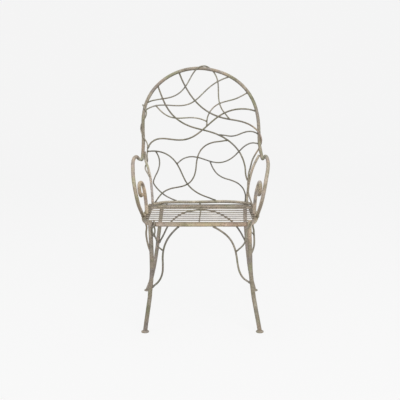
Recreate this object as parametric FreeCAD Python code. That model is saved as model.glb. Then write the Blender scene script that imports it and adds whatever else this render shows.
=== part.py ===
import FreeCAD, Part
import math
import os

V = FreeCAD.Vector

# Garden armchair of bent and welded round iron bar.
# Millimetres, +Z up, the front of the chair looks along -Y, the origin is on
# the floor in the middle of the outline.

# ---------------------------------------------------------------- dimensions
ARCH_BAR = 15.5         # back hoop and arm bars
LEG_BAR = 18.0          # four legs
FRAME_BAR = 18.0        # bowed seat frame and its rear bar
POST_BAR = 12.0         # back uprights
SCROLL_BAR = 15.5       # crooks under the arms
BACK_RAIL_BAR = 14.0    # lower rail of the back
STOUT_BRANCH = 7.6      # three long branches of the back
MIDDLE_BRANCH = 6.8     # two branches of the lower back
FINE_BRANCH = 6.4       # the other branches
BRACE_BAR = 8.0         # branches between the legs and the seat
TWIG_BAR = 6.5
LINK_BAR = 5.5          # side limb and link of the twigs
TIE_BAR = 8.0
SLAT_BAR = 5.0
SEAT_ROD = 6.0

SEAT_Z = 440.0          # centre height of the seat frame
SLAT_COUNT = 9
SLAT_FIRST_Y = -220.0
SLAT_PITCH = 41.3
SLAT_Z = 444.0
EDGE_FLAT_X = (-232.0, -216.0, 213.5, 229.0)  # left and right flat, outer to inner edges
EDGE_FLAT_THICK = 6.0
EDGE_FLAT_Y = (-240.0, 118.0)
FOOT_DIA = 32.0
FOOT_THICK = 5.0

# ------------------------------------------------------------------- routes
# Corner points of each bar's centre line; the bars are straight runs joined
# by tangent arcs.
ROUTES = {
    "arch": [
        (-269.8, 138.5, 655.1), (-264.7, 175.0, 648.6), (-259.9, 192.9, 727.6), (-262.3, 202.5, 788.6),
        (-261.4, 212.1, 849.5), (-247.1, 221.5, 908.6), (-216.5, 229.8, 961.2), (-172.7, 236.6, 1003.9),
        (-119.9, 241.5, 1035.3), (-61.3, 244.4, 1053.8), (0.2, 245.1, 1058.1), (61.1, 243.6, 1048.8),
        (119.4, 240.5, 1029.0), (171.8, 235.5, 997.2), (214.6, 228.6, 953.4), (244.4, 220.2, 900.3),
        (259.4, 210.9, 841.4), (264.1, 201.3, 780.7), (265.3, 191.6, 719.8), (279.0, 180.0, 650.7),
        (280.6, 144.8, 659.3),
    ],
    "left_arm": [
        (-269.8, 138.5, 655.1), (-274.9, 102.0, 661.6), (-277.8, 68.0, 674.5), (-282.0, 39.0, 678.7),
        (-283.5, -13.3, 679.3), (-283.0, -65.4, 675.6), (-279.8, -117.0, 668.3), (-274.8, -167.9, 657.4),
        (-270.0, -216.9, 640.0), (-263.2, -256.6, 608.1), (-254.5, -259.2, 559.5), (-249.4, -229.2, 517.8),
        (-243.9, -188.3, 485.9), (-241.2, -143.1, 461.5), (-240.0, -97.0, 444.0),
    ],
    "right_arm": [
        (280.6, 144.8, 659.3), (282.2, 109.5, 667.8), (282.5, 83.0, 676.0), (283.6, 30.2, 680.3),
        (282.2, -22.9, 677.9), (280.3, -75.4, 669.7), (276.0, -127.2, 658.6), (269.0, -178.0, 644.7),
        (259.6, -225.7, 623.1), (250.0, -262.5, 589.1), (242.9, -248.1, 540.7), (239.0, -208.5, 505.5),
        (236.2, -163.9, 476.9), (234.0, -108.5, 444.0),
    ],
    "seat_frame": [
        (-232.0, 160.0, 440.0), (-240.0, -90.0, 440.0), (-237.0, -135.0, 440.0), (-231.0, -171.0, 440.0),
        (-223.5, -195.0, 440.0), (-213.0, -216.0, 440.0), (-196.0, -233.0, 440.0), (-170.0, -242.5, 440.0),
        (160.0, -242.5, 440.0), (190.0, -235.0, 440.0), (209.0, -212.0, 440.0), (218.6, -183.0, 440.0),
        (226.0, -148.0, 440.0), (231.5, -115.0, 440.0), (234.3, -90.0, 440.0), (236.0, 160.0, 440.0),
    ],
    "seat_rear_bar": [
        (-231.0, 80.0, 441.5), (-216.0, 95.0, 443.0), (-206.0, 112.0, 443.5), (-192.0, 125.5, 443.5),
        (-165.0, 129.0, 443.5), (180.0, 129.0, 443.5), (201.0, 125.5, 443.5), (212.0, 113.0, 443.5),
        (219.0, 98.0, 443.0), (230.0, 84.0, 441.5),
    ],
    "seat_centre_rod": [
        (-7.9, -243.0, 438.5), (-5.6, -130.0, 438.5), (-2.2, -20.0, 438.5), (0.4, 60.0, 438.5),
        (1.8, 122.0, 438.5),
    ],
    "left_scroll": [
        (-231.0, -50.5, 443.0), (-231.2, -52.0, 469.0), (-232.9, -57.2, 498.1), (-235.2, -66.3, 526.4),
        (-237.6, -78.9, 553.2), (-241.7, -95.7, 576.3), (-245.2, -119.9, 591.0), (-250.2, -147.1, 593.8),
        (-251.0, -172.7, 582.0), (-248.3, -172.9, 556.6), (-245.7, -150.3, 538.4), (-241.8, -122.5, 540.1),
    ],
    "right_scroll": [
        (228.0, -50.5, 443.0), (228.7, -52.5, 474.5), (230.0, -58.3, 502.5), (231.8, -67.5, 529.6),
        (235.2, -80.0, 555.2), (239.5, -96.6, 577.8), (241.6, -120.9, 592.5), (242.2, -147.3, 596.2),
        (242.4, -173.0, 585.0), (241.2, -171.2, 560.3), (239.4, -149.3, 542.7), (236.4, -122.5, 544.4),
    ],
    "left_upright": [
        (-255.7, 194.0, 684.3), (-253.8, 192.5, 667.6), (-252.5, 187.0, 648.5), (-247.8, 182.5, 633.5),
        (-241.1, 178.0, 617.1), (-236.1, 173.7, 598.0), (-231.5, 169.7, 579.8), (-227.6, 166.4, 561.0),
        (-225.4, 163.2, 540.3), (-221.4, 156.4, 497.2), (-219.6, 152.5, 467.9), (-219.0, 149.5, 436.0),
    ],
    "right_upright": [
        (265.5, 192.0, 668.0), (241.6, 178.7, 625.5), (226.8, 170.0, 582.8), (217.0, 162.8, 537.8),
        (214.4, 158.5, 509.3), (211.7, 156.6, 491.2), (210.4, 154.4, 474.9), (209.9, 151.2, 457.5),
    ],
    "branch_top_left_to_right_wrap": [
        (-99.9, 242.7, 1042.4), (-87.9, 235.6, 1012.2), (-73.9, 229.6, 982.7), (-57.6, 225.0, 954.1),
        (-38.7, 220.8, 927.0), (-17.1, 216.8, 902.1), (7.4, 212.8, 880.0), (34.7, 209.5, 861.5),
        (63.8, 214.6, 846.8), (94.9, 215.8, 836.0), (127.4, 213.9, 829.3), (160.2, 211.4, 824.5),
        (192.5, 207.8, 817.7), (223.0, 202.7, 805.7), (249.7, 195.8, 787.3), (269.6, 189.7, 762.5),
        (277.5, 194.9, 731.1), (267.3, 199.5, 700.1), (249.3, 188.9, 674.3), (233.5, 185.1, 645.5),
        (226.0, 178.5, 613.3), (217.0, 168.0, 588.0), (216.2, 160.0, 572.9), (213.4, 155.6, 551.6),
        (212.7, 151.4, 530.3), (214.1, 148.5, 511.9), (217.4, 148.0, 495.9), (221.1, 146.0, 482.4),
        (225.5, 142.0, 469.3), (230.8, 137.0, 455.5), (235.5, 131.0, 442.0),
    ],
    "branch_upper_left_to_right_post": [
        (-196.5, 233.4, 983.2), (-183.7, 224.4, 950.0), (-170.7, 219.3, 916.0), (-155.1, 222.3, 883.6),
        (-134.4, 212.2, 855.0), (-108.3, 205.1, 830.3), (-77.6, 203.7, 810.2), (-43.9, 204.5, 795.6),
        (-8.4, 205.4, 785.8), (27.4, 204.3, 777.5), (62.5, 201.5, 767.2), (96.1, 197.3, 752.7),
        (127.1, 192.2, 733.7), (154.7, 186.9, 710.0), (177.4, 181.9, 681.6), (193.1, 177.6, 648.7),
        (202.3, 173.4, 613.4), (202.8, 170.3, 591.2), (206.0, 168.0, 571.8), (212.0, 165.5, 556.1),
    ],
    "branch_long_wave": [
        (-241.7, 188.2, 698.0), (-226.5, 192.5, 726.6), (-197.7, 194.8, 742.4), (-164.6, 194.6, 743.8),
        (-131.5, 193.5, 739.3), (-98.4, 192.6, 736.3), (-65.2, 192.5, 739.2), (-34.3, 193.9, 751.3),
        (-6.8, 196.2, 769.9), (18.6, 199.0, 791.3), (43.5, 201.5, 813.4), (69.0, 204.0, 834.7),
        (95.3, 213.6, 851.8), (124.7, 219.9, 865.2), (156.9, 221.0, 873.6), (190.0, 220.8, 876.4),
        (223.1, 218.8, 873.5), (254.8, 214.5, 864.3),
    ],
    "branch_looped_over_arch": [
        (-250.0, 220.4, 901.3), (-226.0, 223.7, 911.3), (-200.4, 225.9, 916.8), (-174.4, 227.0, 920.4),
        (-148.5, 227.7, 924.5), (-123.2, 228.7, 931.5), (-100.2, 230.6, 943.9), (-80.8, 233.2, 961.3),
        (-64.9, 236.1, 982.0), (-51.9, 236.8, 1004.8), (-39.3, 236.0, 1027.9), (-24.1, 233.8, 1049.1),
        (-4.9, 240.8, 1064.8), (19.0, 249.0, 1069.1), (41.9, 254.2, 1057.7), (59.7, 249.6, 1039.9),
        (71.6, 239.1, 1019.0), (77.9, 231.6, 994.8), (79.7, 227.7, 968.9), (79.9, 223.8, 942.9),
        (81.4, 219.9, 917.0), (86.8, 215.7, 891.7), (98.7, 210.8, 868.8), (115.4, 208.6, 848.8),
        (131.3, 213.6, 828.6),
    ],
    "branch_upper_cross": [
        (-257.5, 214.9, 866.5), (-225.8, 215.2, 885.1), (-190.1, 214.9, 893.2), (-153.3, 214.5, 893.0),
        (-116.5, 215.7, 890.3), (-79.8, 218.6, 890.4), (-44.6, 222.6, 899.6), (-14.9, 226.7, 920.8),
        (11.1, 231.0, 946.5), (37.7, 235.1, 971.7), (67.4, 238.5, 993.2), (100.3, 240.3, 1009.5),
        (135.2, 239.4, 1021.3),
    ],
    "branch_left_hook": [
        (-204.5, 215.3, 892.2), (-183.8, 214.6, 868.2), (-159.4, 213.8, 848.0), (-130.2, 213.4, 835.9),
        (-98.6, 213.3, 833.7), (-66.9, 213.5, 835.8), (-35.2, 213.1, 837.0), (-3.9, 211.3, 832.3),
        (25.5, 207.6, 820.9),
    ],
    "branch_upper_right": [
        (214.6, 228.1, 950.1), (185.9, 226.3, 933.6), (155.6, 224.8, 919.4), (122.9, 224.2, 911.5),
        (90.4, 223.5, 903.1), (61.2, 221.7, 887.0), (39.6, 218.2, 861.7), (27.5, 211.0, 831.4),
        (27.7, 200.0, 799.9),
    ],
    "branch_right_short": [
        (82.4, 199.1, 759.3), (109.2, 198.7, 758.0), (135.6, 197.7, 752.7), (162.1, 198.2, 757.0),
        (186.8, 199.8, 767.7), (212.6, 200.8, 775.6), (239.4, 200.5, 774.7), (263.1, 198.4, 762.3),
    ],
    "branch_centre_descending": [
        (120.9, 192.9, 736.1), (89.2, 191.1, 730.6), (56.9, 190.1, 727.6), (26.5, 188.1, 716.5),
        (1.7, 184.7, 696.0), (-13.3, 180.2, 667.5), (-19.7, 175.8, 636.0), (-22.1, 172.5, 603.7),
        (-29.9, 169.7, 572.3), (-48.0, 167.0, 545.6), (-76.1, 164.5, 530.0), (-108.0, 161.7, 524.3),
        (-139.9, 158.3, 519.0), (-169.1, 154.5, 505.5), (-191.0, 151.3, 481.8), (-208.7, 149.6, 454.5),
    ],
    "branch_left_to_rail": [
        (-243.2, 184.7, 685.9), (-208.3, 184.5, 688.2), (-173.9, 183.2, 682.6), (-142.6, 180.5, 667.4),
        (-117.1, 176.6, 643.8), (-98.4, 171.8, 614.7), (-84.0, 166.8, 583.1), (-69.2, 161.8, 551.8),
        (-48.2, 157.5, 524.3), (-20.7, 154.6, 502.9), (10.6, 152.8, 487.3), (43.7, 152.0, 475.9),
        (75.7, 150.8, 462.0),
    ],
    "branch_lower_left": [
        (-204.2, 184.3, 687.7), (-188.9, 179.9, 658.9), (-185.9, 175.1, 626.5), (-195.3, 170.7, 595.2),
        (-208.0, 167.6, 573.0), (-217.4, 164.4, 546.5), (-206.6, 162.6, 529.0), (-188.0, 161.0, 508.1), (-162.7, 158.0, 486.9),
        (-133.1, 154.8, 472.7), (-102.6, 150.6, 460.4),
    ],
    "branch_lower_wave": [
        (-107.9, 174.4, 630.7), (-82.2, 180.8, 653.4), (-48.9, 184.9, 663.0), (-14.1, 185.3, 659.5),
        (19.2, 183.6, 648.6), (52.5, 181.8, 637.4), (87.3, 181.2, 633.9), (121.1, 182.6, 642.8),
        (150.4, 185.6, 661.7), (174.8, 189.6, 686.6), (199.9, 192.9, 710.9), (231.2, 194.0, 725.9),
        (265.0, 191.6, 719.7),
    ],
    "branch_lower_right": [
        (42.9, 181.9, 638.2), (55.6, 176.7, 607.6), (76.2, 172.1, 581.4), (105.2, 169.1, 565.1),
        (137.8, 167.4, 556.9), (168.7, 165.0, 544.1), (193.0, 161.0, 521.4), (204.4, 156.0, 490.6),
        (201.8, 150.5, 457.6),
    ],
    "left_vine": [
        (-263.3, 219.4, 894.8), (-252.6, 206.6, 880.3), (-245.0, 210.7, 860.0), (-250.3, 217.5, 839.6),
        (-263.0, 217.6, 821.2), (-271.4, 209.5, 802.9), (-272.2, 198.1, 783.8), (-265.6, 188.9, 764.7),
        (-256.2, 186.0, 744.8), (-243.8, 188.6, 726.2), (-239.9, 189.3, 704.8), (-242.7, 183.4, 683.4),
        (-244.3, 184.0, 664.0), (-241.5, 185.5, 648.2), (-244.5, 192.0, 633.7), (-249.9, 190.0, 623.8),
        (-253.7, 184.0, 614.5), (-252.3, 176.0, 605.0), (-245.9, 168.0, 594.7), (-238.0, 163.6, 583.9),
        (-233.0, 162.2, 574.4),
    ],
    "left_front_leg": [
        (-202.9, -247.0, 456.0), (-201.5, -247.7, 430.0), (-200.2, -248.5, 396.0), (-199.1, -250.2, 368.0),
        (-197.9, -252.0, 339.0), (-197.1, -254.0, 311.0), (-196.6, -256.0, 283.0), (-196.4, -258.0, 255.0),
        (-198.5, -260.0, 227.0), (-201.4, -261.5, 198.0), (-204.1, -263.0, 170.0), (-206.5, -264.2, 142.0),
        (-210.5, -265.3, 114.6), (-214.5, -267.8, 86.0), (-218.8, -270.2, 58.8), (-227.2, -273.7, -3.0),
    ],
    "right_front_leg": [
        (194.3, -247.0, 456.0), (193.8, -247.7, 430.0), (194.2, -248.5, 396.0), (195.5, -250.2, 368.0),
        (196.7, -252.0, 339.0), (197.7, -254.0, 311.0), (198.4, -256.0, 283.0), (199.8, -258.0, 255.0),
        (202.6, -260.0, 227.0), (206.0, -261.5, 198.0), (209.7, -263.0, 170.0), (213.5, -264.2, 142.0),
        (218.8, -265.3, 114.6), (223.8, -267.8, 86.0), (229.2, -270.2, 58.8), (240.7, -273.7, -3.0),
    ],
    "left_rear_leg": [
        (-174.8, 140.0, 445.0), (-178.7, 141.8, 416.0), (-182.4, 143.5, 388.0), (-186.2, 148.2, 362.0),
        (-189.2, 152.8, 336.5), (-192.9, 159.4, 312.0), (-196.4, 166.2, 286.5), (-199.4, 173.5, 262.0),
        (-202.4, 180.9, 237.1), (-206.6, 189.2, 212.0), (-210.4, 197.1, 188.4), (-214.9, 206.0, 164.0),
        (-219.2, 214.7, 140.4), (-224.3, 224.4, 116.0), (-229.1, 233.5, 93.3), (-235.7, 243.4, 70.0),
        (-243.0, 254.2, 45.0), (-260.8, 276.0, -3.3),
    ],
    "right_rear_leg": [
        (202.0, 140.0, 445.0), (201.4, 141.8, 416.0), (202.1, 143.5, 388.0), (204.1, 148.2, 362.0),
        (206.6, 152.8, 336.5), (209.1, 159.4, 312.0), (211.7, 166.2, 286.5), (213.9, 173.5, 262.0),
        (216.3, 180.9, 237.1), (219.4, 189.2, 212.0), (222.5, 197.1, 188.4), (225.9, 206.0, 164.0),
        (229.2, 214.7, 140.4), (233.5, 224.4, 116.0), (237.6, 233.5, 93.3), (242.8, 243.4, 70.0),
        (248.8, 254.2, 45.0), (262.4, 276.0, -3.3),
    ],
    "back_bottom_rail": [
        (-219.0, 149.6, 448.9), (-161.9, 150.3, 457.8), (-106.2, 150.5, 458.8), (-50.5, 150.5, 458.4),
        (5.2, 150.6, 458.8), (60.9, 150.9, 460.3), (116.6, 151.1, 460.9), (176.0, 150.6, 457.8),
        (232.0, 150.6, 449.5),
    ],
    "left_front_brace": [
        (-84.5, -242.5, 436.0), (-114.1, -246.1, 408.3), (-135.2, -248.2, 380.0), (-148.6, -250.6, 347.2),
        (-153.7, -253.2, 312.3), (-152.2, -256.1, 276.9), (-153.6, -259.4, 241.7), (-167.8, -262.8, 209.6),
        (-202.2, -262.5, 181.0),
    ],
    "right_front_brace": [
        (42.5, -242.5, 436.0), (77.1, -245.5, 416.3), (103.2, -246.9, 397.6), (123.6, -248.7, 372.9),
        (136.5, -250.9, 343.6), (143.4, -253.2, 312.3), (147.4, -255.7, 280.5), (154.2, -258.7, 249.3),
        (170.1, -261.5, 221.7), (207.0, -261.9, 199.0),
    ],
    "left_brace_twig": [
        (-154.4, -252.5, 337.3), (-165.0, -255.0, 347.0), (-174.0, -257.5, 354.6), (-176.5, -259.5, 367.5),
        (-175.1, -260.5, 378.8), (-180.1, -261.5, 389.2), (-185.5, -262.0, 400.8), (-182.2, -262.0, 413.0),
        (-182.5, -260.5, 424.4), (-185.4, -257.0, 433.8), (-185.0, -254.5, 446.0), (-186.5, -243.0, 453.5),
        (-187.5, -229.0, 449.5),
    ],
    "left_twig_loop": [
        (-184.0, -261.5, 395.7), (-190.1, -262.5, 406.6), (-193.6, -262.0, 417.9), (-194.0, -261.0, 427.4),
        (-189.2, -259.0, 435.1), (-183.8, -256.5, 439.4),
    ],
    "right_brace_twig": [
        (139.1, -251.5, 329.6), (146.6, -253.5, 336.3), (154.7, -257.0, 344.7), (163.2, -260.5, 353.4),
        (170.4, -264.0, 362.8), (175.4, -265.5, 373.8), (178.8, -266.0, 387.0), (180.6, -265.5, 401.6),
        (180.2, -264.0, 414.7), (183.0, -261.5, 425.1), (189.3, -260.0, 434.1), (196.4, -259.5, 441.7),
        (200.0, -252.5, 453.5),
    ],
    "rear_arch_brace": [
        (-191.6, 165.0, 265.5), (-180.5, 160.5, 285.6), (-169.0, 156.5, 307.8), (-153.8, 151.0, 342.4),
        (-135.9, 146.0, 367.8), (-112.8, 140.0, 389.6), (-87.5, 134.0, 407.6), (-55.6, 129.0, 419.7),
        (1.0, 127.0, 429.0), (55.4, 129.0, 421.0), (85.0, 133.0, 408.7), (114.8, 139.0, 390.8),
        (144.9, 146.0, 367.8), (166.0, 151.0, 342.4), (183.5, 156.5, 315.8), (195.6, 160.5, 291.7),
        (207.1, 165.0, 272.6),
    ],
    "left_side_brace": [
        (-238.0, -40.0, 432.0), (-233.2, -66.0, 400.4), (-229.2, -76.0, 392.6), (-229.7, -88.0, 384.5),
        (-230.5, -101.0, 375.3), (-229.2, -114.0, 366.7), (-226.5, -128.0, 357.2), (-224.0, -141.0, 349.2),
        (-220.7, -153.0, 341.9), (-217.3, -166.0, 335.8), (-213.3, -183.0, 330.3), (-208.1, -204.0, 325.2),
        (-203.2, -228.0, 321.8), (-198.9, -250.0, 318.9),
    ],
    "right_side_brace": [
        (234.5, -40.0, 432.0), (220.3, -66.0, 400.4), (221.3, -76.0, 392.6), (223.1, -88.0, 385.3),
        (223.5, -100.0, 376.4), (223.0, -114.0, 366.7), (222.9, -128.0, 357.2), (222.4, -142.0, 345.6),
        (221.0, -156.0, 336.2), (218.2, -172.0, 329.6), (213.5, -191.0, 323.9), (207.9, -213.0, 319.1),
        (202.2, -235.0, 315.7), (198.7, -251.0, 313.4),
    ],
    "right_side_link": [
        (198.7, -244.0, 412.9), (208.9, -180.0, 392.4), (221.1, -116.0, 370.2),
    ],
}


# -------------------------------------------------------------------- tools
def path_edges(pts, ease=0.46):
    """Straight runs joined by tangent arcs that round each corner point."""
    p = [V(*q) for q in pts]
    edges = []
    here = p[0]
    for i in range(1, len(p) - 1):
        a = p[i] - p[i - 1]
        b = p[i + 1] - p[i]
        la, lb = a.Length, b.Length
        a.normalize()
        b.normalize()
        turn = math.acos(max(-1.0, min(1.0, a.dot(b))))
        if turn < 0.004:
            continue
        t = ease * min(la, lb)
        radius = t / math.tan(turn / 2.0)
        start = p[i] - a * t
        end = p[i] + b * t
        inward = b - a
        inward.normalize()
        mid = p[i] + inward * (radius / math.cos(turn / 2.0) - radius)
        if (start - here).Length > 0.01:
            edges.append(Part.LineSegment(here, start).toShape())
        edges.append(Part.Arc(start, mid, end).toShape())
        here = end
    if (p[-1] - here).Length > 0.01:
        edges.append(Part.LineSegment(here, p[-1]).toShape())
    return edges


def rod(pts, dia, ease=0.46):
    """Round bar along a route."""
    wire = Part.Wire(path_edges(pts, ease))
    d = V(*pts[1]) - V(*pts[0])
    d.normalize()
    ring = Part.Wire([Part.makeCircle(dia / 2.0, V(*pts[0]), d)])
    s = wire.makePipeShell([ring], True, False)
    if s.ShapeType != "Solid":
        s = Part.makeSolid(s)
    if s.Volume < 0:
        s.reverse()
    want = wire.Length * math.pi * dia * dia / 4.0
    if abs(s.Volume - want) > 0.02 * want or not s.isValid():
        print("check rod", pts[0], round(s.Volume / want, 4), s.isValid())
    return s


def biggest(shape):
    solids = sorted(shape.Solids, key=lambda q: -q.Volume)
    return solids[0]


def cope(shape, *hosts):
    """Ends cut back to the surface of the bars they are welded to."""
    for h in hosts:
        shape = biggest(shape.cut(h))
    return shape


def box(x0, x1, y0, y1, z0, z1):
    return Part.makeBox(x1 - x0, y1 - y0, z1 - z0, V(x0, y0, z0))


def export(name, shape):
    if not shape.isValid():
        print("invalid", name)
    shape.exportStep("parts/" + name + ".step")


parts = {}

# --------------------------------------------------------------- seat frame
# one bar bent round the front and both sides, and a rear bar between the sides
parts["seat_frame"] = rod(ROUTES["seat_frame"], FRAME_BAR)
parts["seat_rear_bar"] = cope(rod(ROUTES["seat_rear_bar"], FRAME_BAR), parts["seat_frame"])

# -------------------------------------------------------- back hoop and arms
parts["arch_hoop"] = rod(ROUTES["arch"], ARCH_BAR)
for side in ("left", "right"):
    parts[side + "_arm"] = cope(rod(ROUTES[side + "_arm"], ARCH_BAR),
                                parts["seat_frame"])
    parts[side + "_arm_scroll"] = cope(rod(ROUTES[side + "_scroll"], SCROLL_BAR),
                                       parts["seat_frame"])
    parts[side + "_upright"] = cope(rod(ROUTES[side + "_upright"], POST_BAR),
                                    parts["seat_frame"], parts["arch_hoop"])

# the rail butts on the left upright and on the frame, the right upright stands on it
parts["back_bottom_rail"] = cope(rod(ROUTES["back_bottom_rail"], BACK_RAIL_BAR),
                                 parts["left_upright"], parts["seat_frame"])
parts["right_upright"] = cope(parts["right_upright"], parts["back_bottom_rail"])

# ----------------------------------------------------- branches of the back
STOUT = ("branch_top_left_to_right_wrap", "branch_upper_left_to_right_post",
         "branch_long_wave")
MIDDLE = ("branch_centre_descending", "branch_left_to_rail")
HOSTS = {
    "branch_top_left_to_right_wrap": ["arch_hoop", "right_upright",
                                      "seat_frame"],
    "branch_upper_left_to_right_post": ["arch_hoop", "right_upright",
                                        "branch_top_left_to_right_wrap"],
    "left_vine": ["arch_hoop", "left_upright"],
    "branch_long_wave": ["arch_hoop", "left_vine"],
    "branch_looped_over_arch": ["arch_hoop", "branch_top_left_to_right_wrap"],
    "branch_upper_cross": ["arch_hoop"],
    "branch_upper_right": ["arch_hoop", "branch_long_wave"],
    "branch_left_hook": ["branch_upper_cross", "branch_upper_right"],
    "branch_right_short": ["arch_hoop", "branch_upper_left_to_right_post"],
    "branch_centre_descending": ["branch_upper_left_to_right_post",
                                 "back_bottom_rail", "left_upright"],
    "branch_left_to_rail": ["left_vine", "back_bottom_rail"],
    "branch_lower_left": ["branch_left_to_rail", "back_bottom_rail",
                          "left_upright"],
    "branch_lower_wave": ["arch_hoop", "branch_left_to_rail"],
    "branch_lower_right": ["branch_lower_wave", "back_bottom_rail",
                           "right_upright", "branch_upper_left_to_right_post"],
}
for name, hosts in HOSTS.items():
    dia = STOUT_BRANCH if name in STOUT else MIDDLE_BRANCH if name in MIDDLE else FINE_BRANCH
    parts[name] = cope(rod(ROUTES[name], dia), *[parts[h] for h in hosts])

# ----------------------------------------------------------- legs and feet
FLOOR = box(-400, 400, -400, 400, -60.0, FOOT_THICK)
FEET = {}
for name in ("left_front", "right_front", "left_rear", "right_rear"):
    route = ROUTES[name + "_leg"]
    leg = rod(route, LEG_BAR).cut(FLOOR)
    parts[name + "_leg"] = cope(leg, parts["seat_frame"], parts["seat_rear_bar"])
    a, b = V(*route[-2]), V(*route[-1])
    k = (FOOT_THICK - b.z) / (a.z - b.z)
    c = b + (a - b) * k
    FEET[name] = (c.x, c.y)
    disc = Part.makeCylinder(FOOT_DIA / 2.0, FOOT_THICK, V(c.x, c.y, 0), V(0, 0, 1))
    rim = [e for e in disc.Edges if len(e.Vertexes) == 1
           and abs(e.BoundBox.ZMin - FOOT_THICK) < 0.01
           and abs(e.BoundBox.ZMax - FOOT_THICK) < 0.01]
    parts[name + "_foot"] = disc.makeFillet(1.5, rim)

# -------------------------------------------------------------------- seat
frame, rear = parts["seat_frame"], parts["seat_rear_bar"]
top = SLAT_Z - SLAT_BAR / 2.0
for side, x0, x1 in (("left", EDGE_FLAT_X[0], EDGE_FLAT_X[1]), ("right", EDGE_FLAT_X[2], EDGE_FLAT_X[3])):
    bar = box(x0, x1, EDGE_FLAT_Y[0], EDGE_FLAT_Y[1], top - EDGE_FLAT_THICK, top)
    parts[side + "_seat_edge_bar"] = cope(bar, frame, rear)

for i in range(SLAT_COUNT):
    y = SLAT_FIRST_Y + i * SLAT_PITCH
    slat = Part.makeCylinder(SLAT_BAR / 2.0, 470.0, V(-235.0, y, SLAT_Z), V(1, 0, 0))
    parts["seat_slat_%d" % (i + 1)] = cope(slat, frame, rear, parts["left_arm"], parts["right_arm"],
                                           parts["left_arm_scroll"], parts["right_arm_scroll"])

parts["seat_centre_rod"] = cope(rod(ROUTES["seat_centre_rod"], SEAT_ROD), frame, rear)

# two short ties between the rear bar and the lower rail of the back
tie = []
for x in (-155.0, -3.0):
    a, b = V(x, 126.0, 441.0), V(x, 150.5, 459.5)
    t = Part.makeCylinder(TIE_BAR / 2.0, (b - a).Length, a, b - a)
    tie.append(cope(t, rear, parts["back_bottom_rail"]))
parts["back_rail_ties"] = Part.makeCompound(tie)

# ------------------------------------------------------------------ braces
for side in ("left", "right"):
    fl = parts[side + "_front_leg"]
    parts[side + "_front_brace"] = cope(rod(ROUTES[side + "_front_brace"], BRACE_BAR), frame, fl)
    parts[side + "_side_brace"] = cope(rod(ROUTES[side + "_side_brace"], BRACE_BAR), frame, fl)
    parts[side + "_brace_twig"] = cope(rod(ROUTES[side + "_brace_twig"], TWIG_BAR),
                                       parts[side + "_front_brace"], fl, frame)

# the left twig forks round a small opening, the right side brace has a link
limb = cope(rod(ROUTES["left_twig_loop"], LINK_BAR), parts["left_front_leg"], frame)
parts["left_brace_twig"] = parts["left_brace_twig"].fuse(limb)
link = cope(rod(ROUTES["right_side_link"], LINK_BAR), parts["right_front_leg"])
parts["right_side_brace"] = parts["right_side_brace"].fuse(link)

# one rod bent in an arch between the rear legs, its crown under the rear bar
parts["rear_arch_brace"] = cope(rod(ROUTES["rear_arch_brace"], BRACE_BAR),
                                parts["left_rear_leg"], parts["right_rear_leg"], rear)

os.makedirs("parts", exist_ok=True)
for name in sorted(parts):
    export(name, parts[name])

bb = Part.makeCompound(list(parts.values())).BoundBox
print("nodes", len(parts))
print("outline x %.1f %.1f  y %.1f %.1f  z %.1f %.1f" % (bb.XMin, bb.XMax, bb.YMin, bb.YMax, bb.ZMin, bb.ZMax))
print("volume cm3 %.0f" % (sum(s.Volume for s in parts.values()) / 1000.0))
for k, (x, y) in FEET.items():
    print("foot", k, round(x, 2), round(y, 2))
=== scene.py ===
import math

import bpy
import numpy as np
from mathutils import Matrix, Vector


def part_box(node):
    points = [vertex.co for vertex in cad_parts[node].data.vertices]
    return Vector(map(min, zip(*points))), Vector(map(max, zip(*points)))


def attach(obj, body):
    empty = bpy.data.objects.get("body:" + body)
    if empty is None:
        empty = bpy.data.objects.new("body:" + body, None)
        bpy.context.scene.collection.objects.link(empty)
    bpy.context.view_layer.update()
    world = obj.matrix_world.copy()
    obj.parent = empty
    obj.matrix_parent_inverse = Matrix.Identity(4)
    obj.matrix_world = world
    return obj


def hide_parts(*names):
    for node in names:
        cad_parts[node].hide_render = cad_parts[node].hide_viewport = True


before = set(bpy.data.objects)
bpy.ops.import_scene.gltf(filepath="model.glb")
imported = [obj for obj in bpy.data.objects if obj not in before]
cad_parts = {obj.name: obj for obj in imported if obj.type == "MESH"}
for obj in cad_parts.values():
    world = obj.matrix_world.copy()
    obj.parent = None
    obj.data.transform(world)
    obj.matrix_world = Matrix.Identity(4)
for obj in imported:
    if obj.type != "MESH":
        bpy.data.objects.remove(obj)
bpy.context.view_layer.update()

MM = 0.001

# Garden armchair of bent and welded round iron bar with aged, rubbed paint.
# Lengths in the tables are millimetres in the part's own frame; meshes are
# made in metres.

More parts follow.
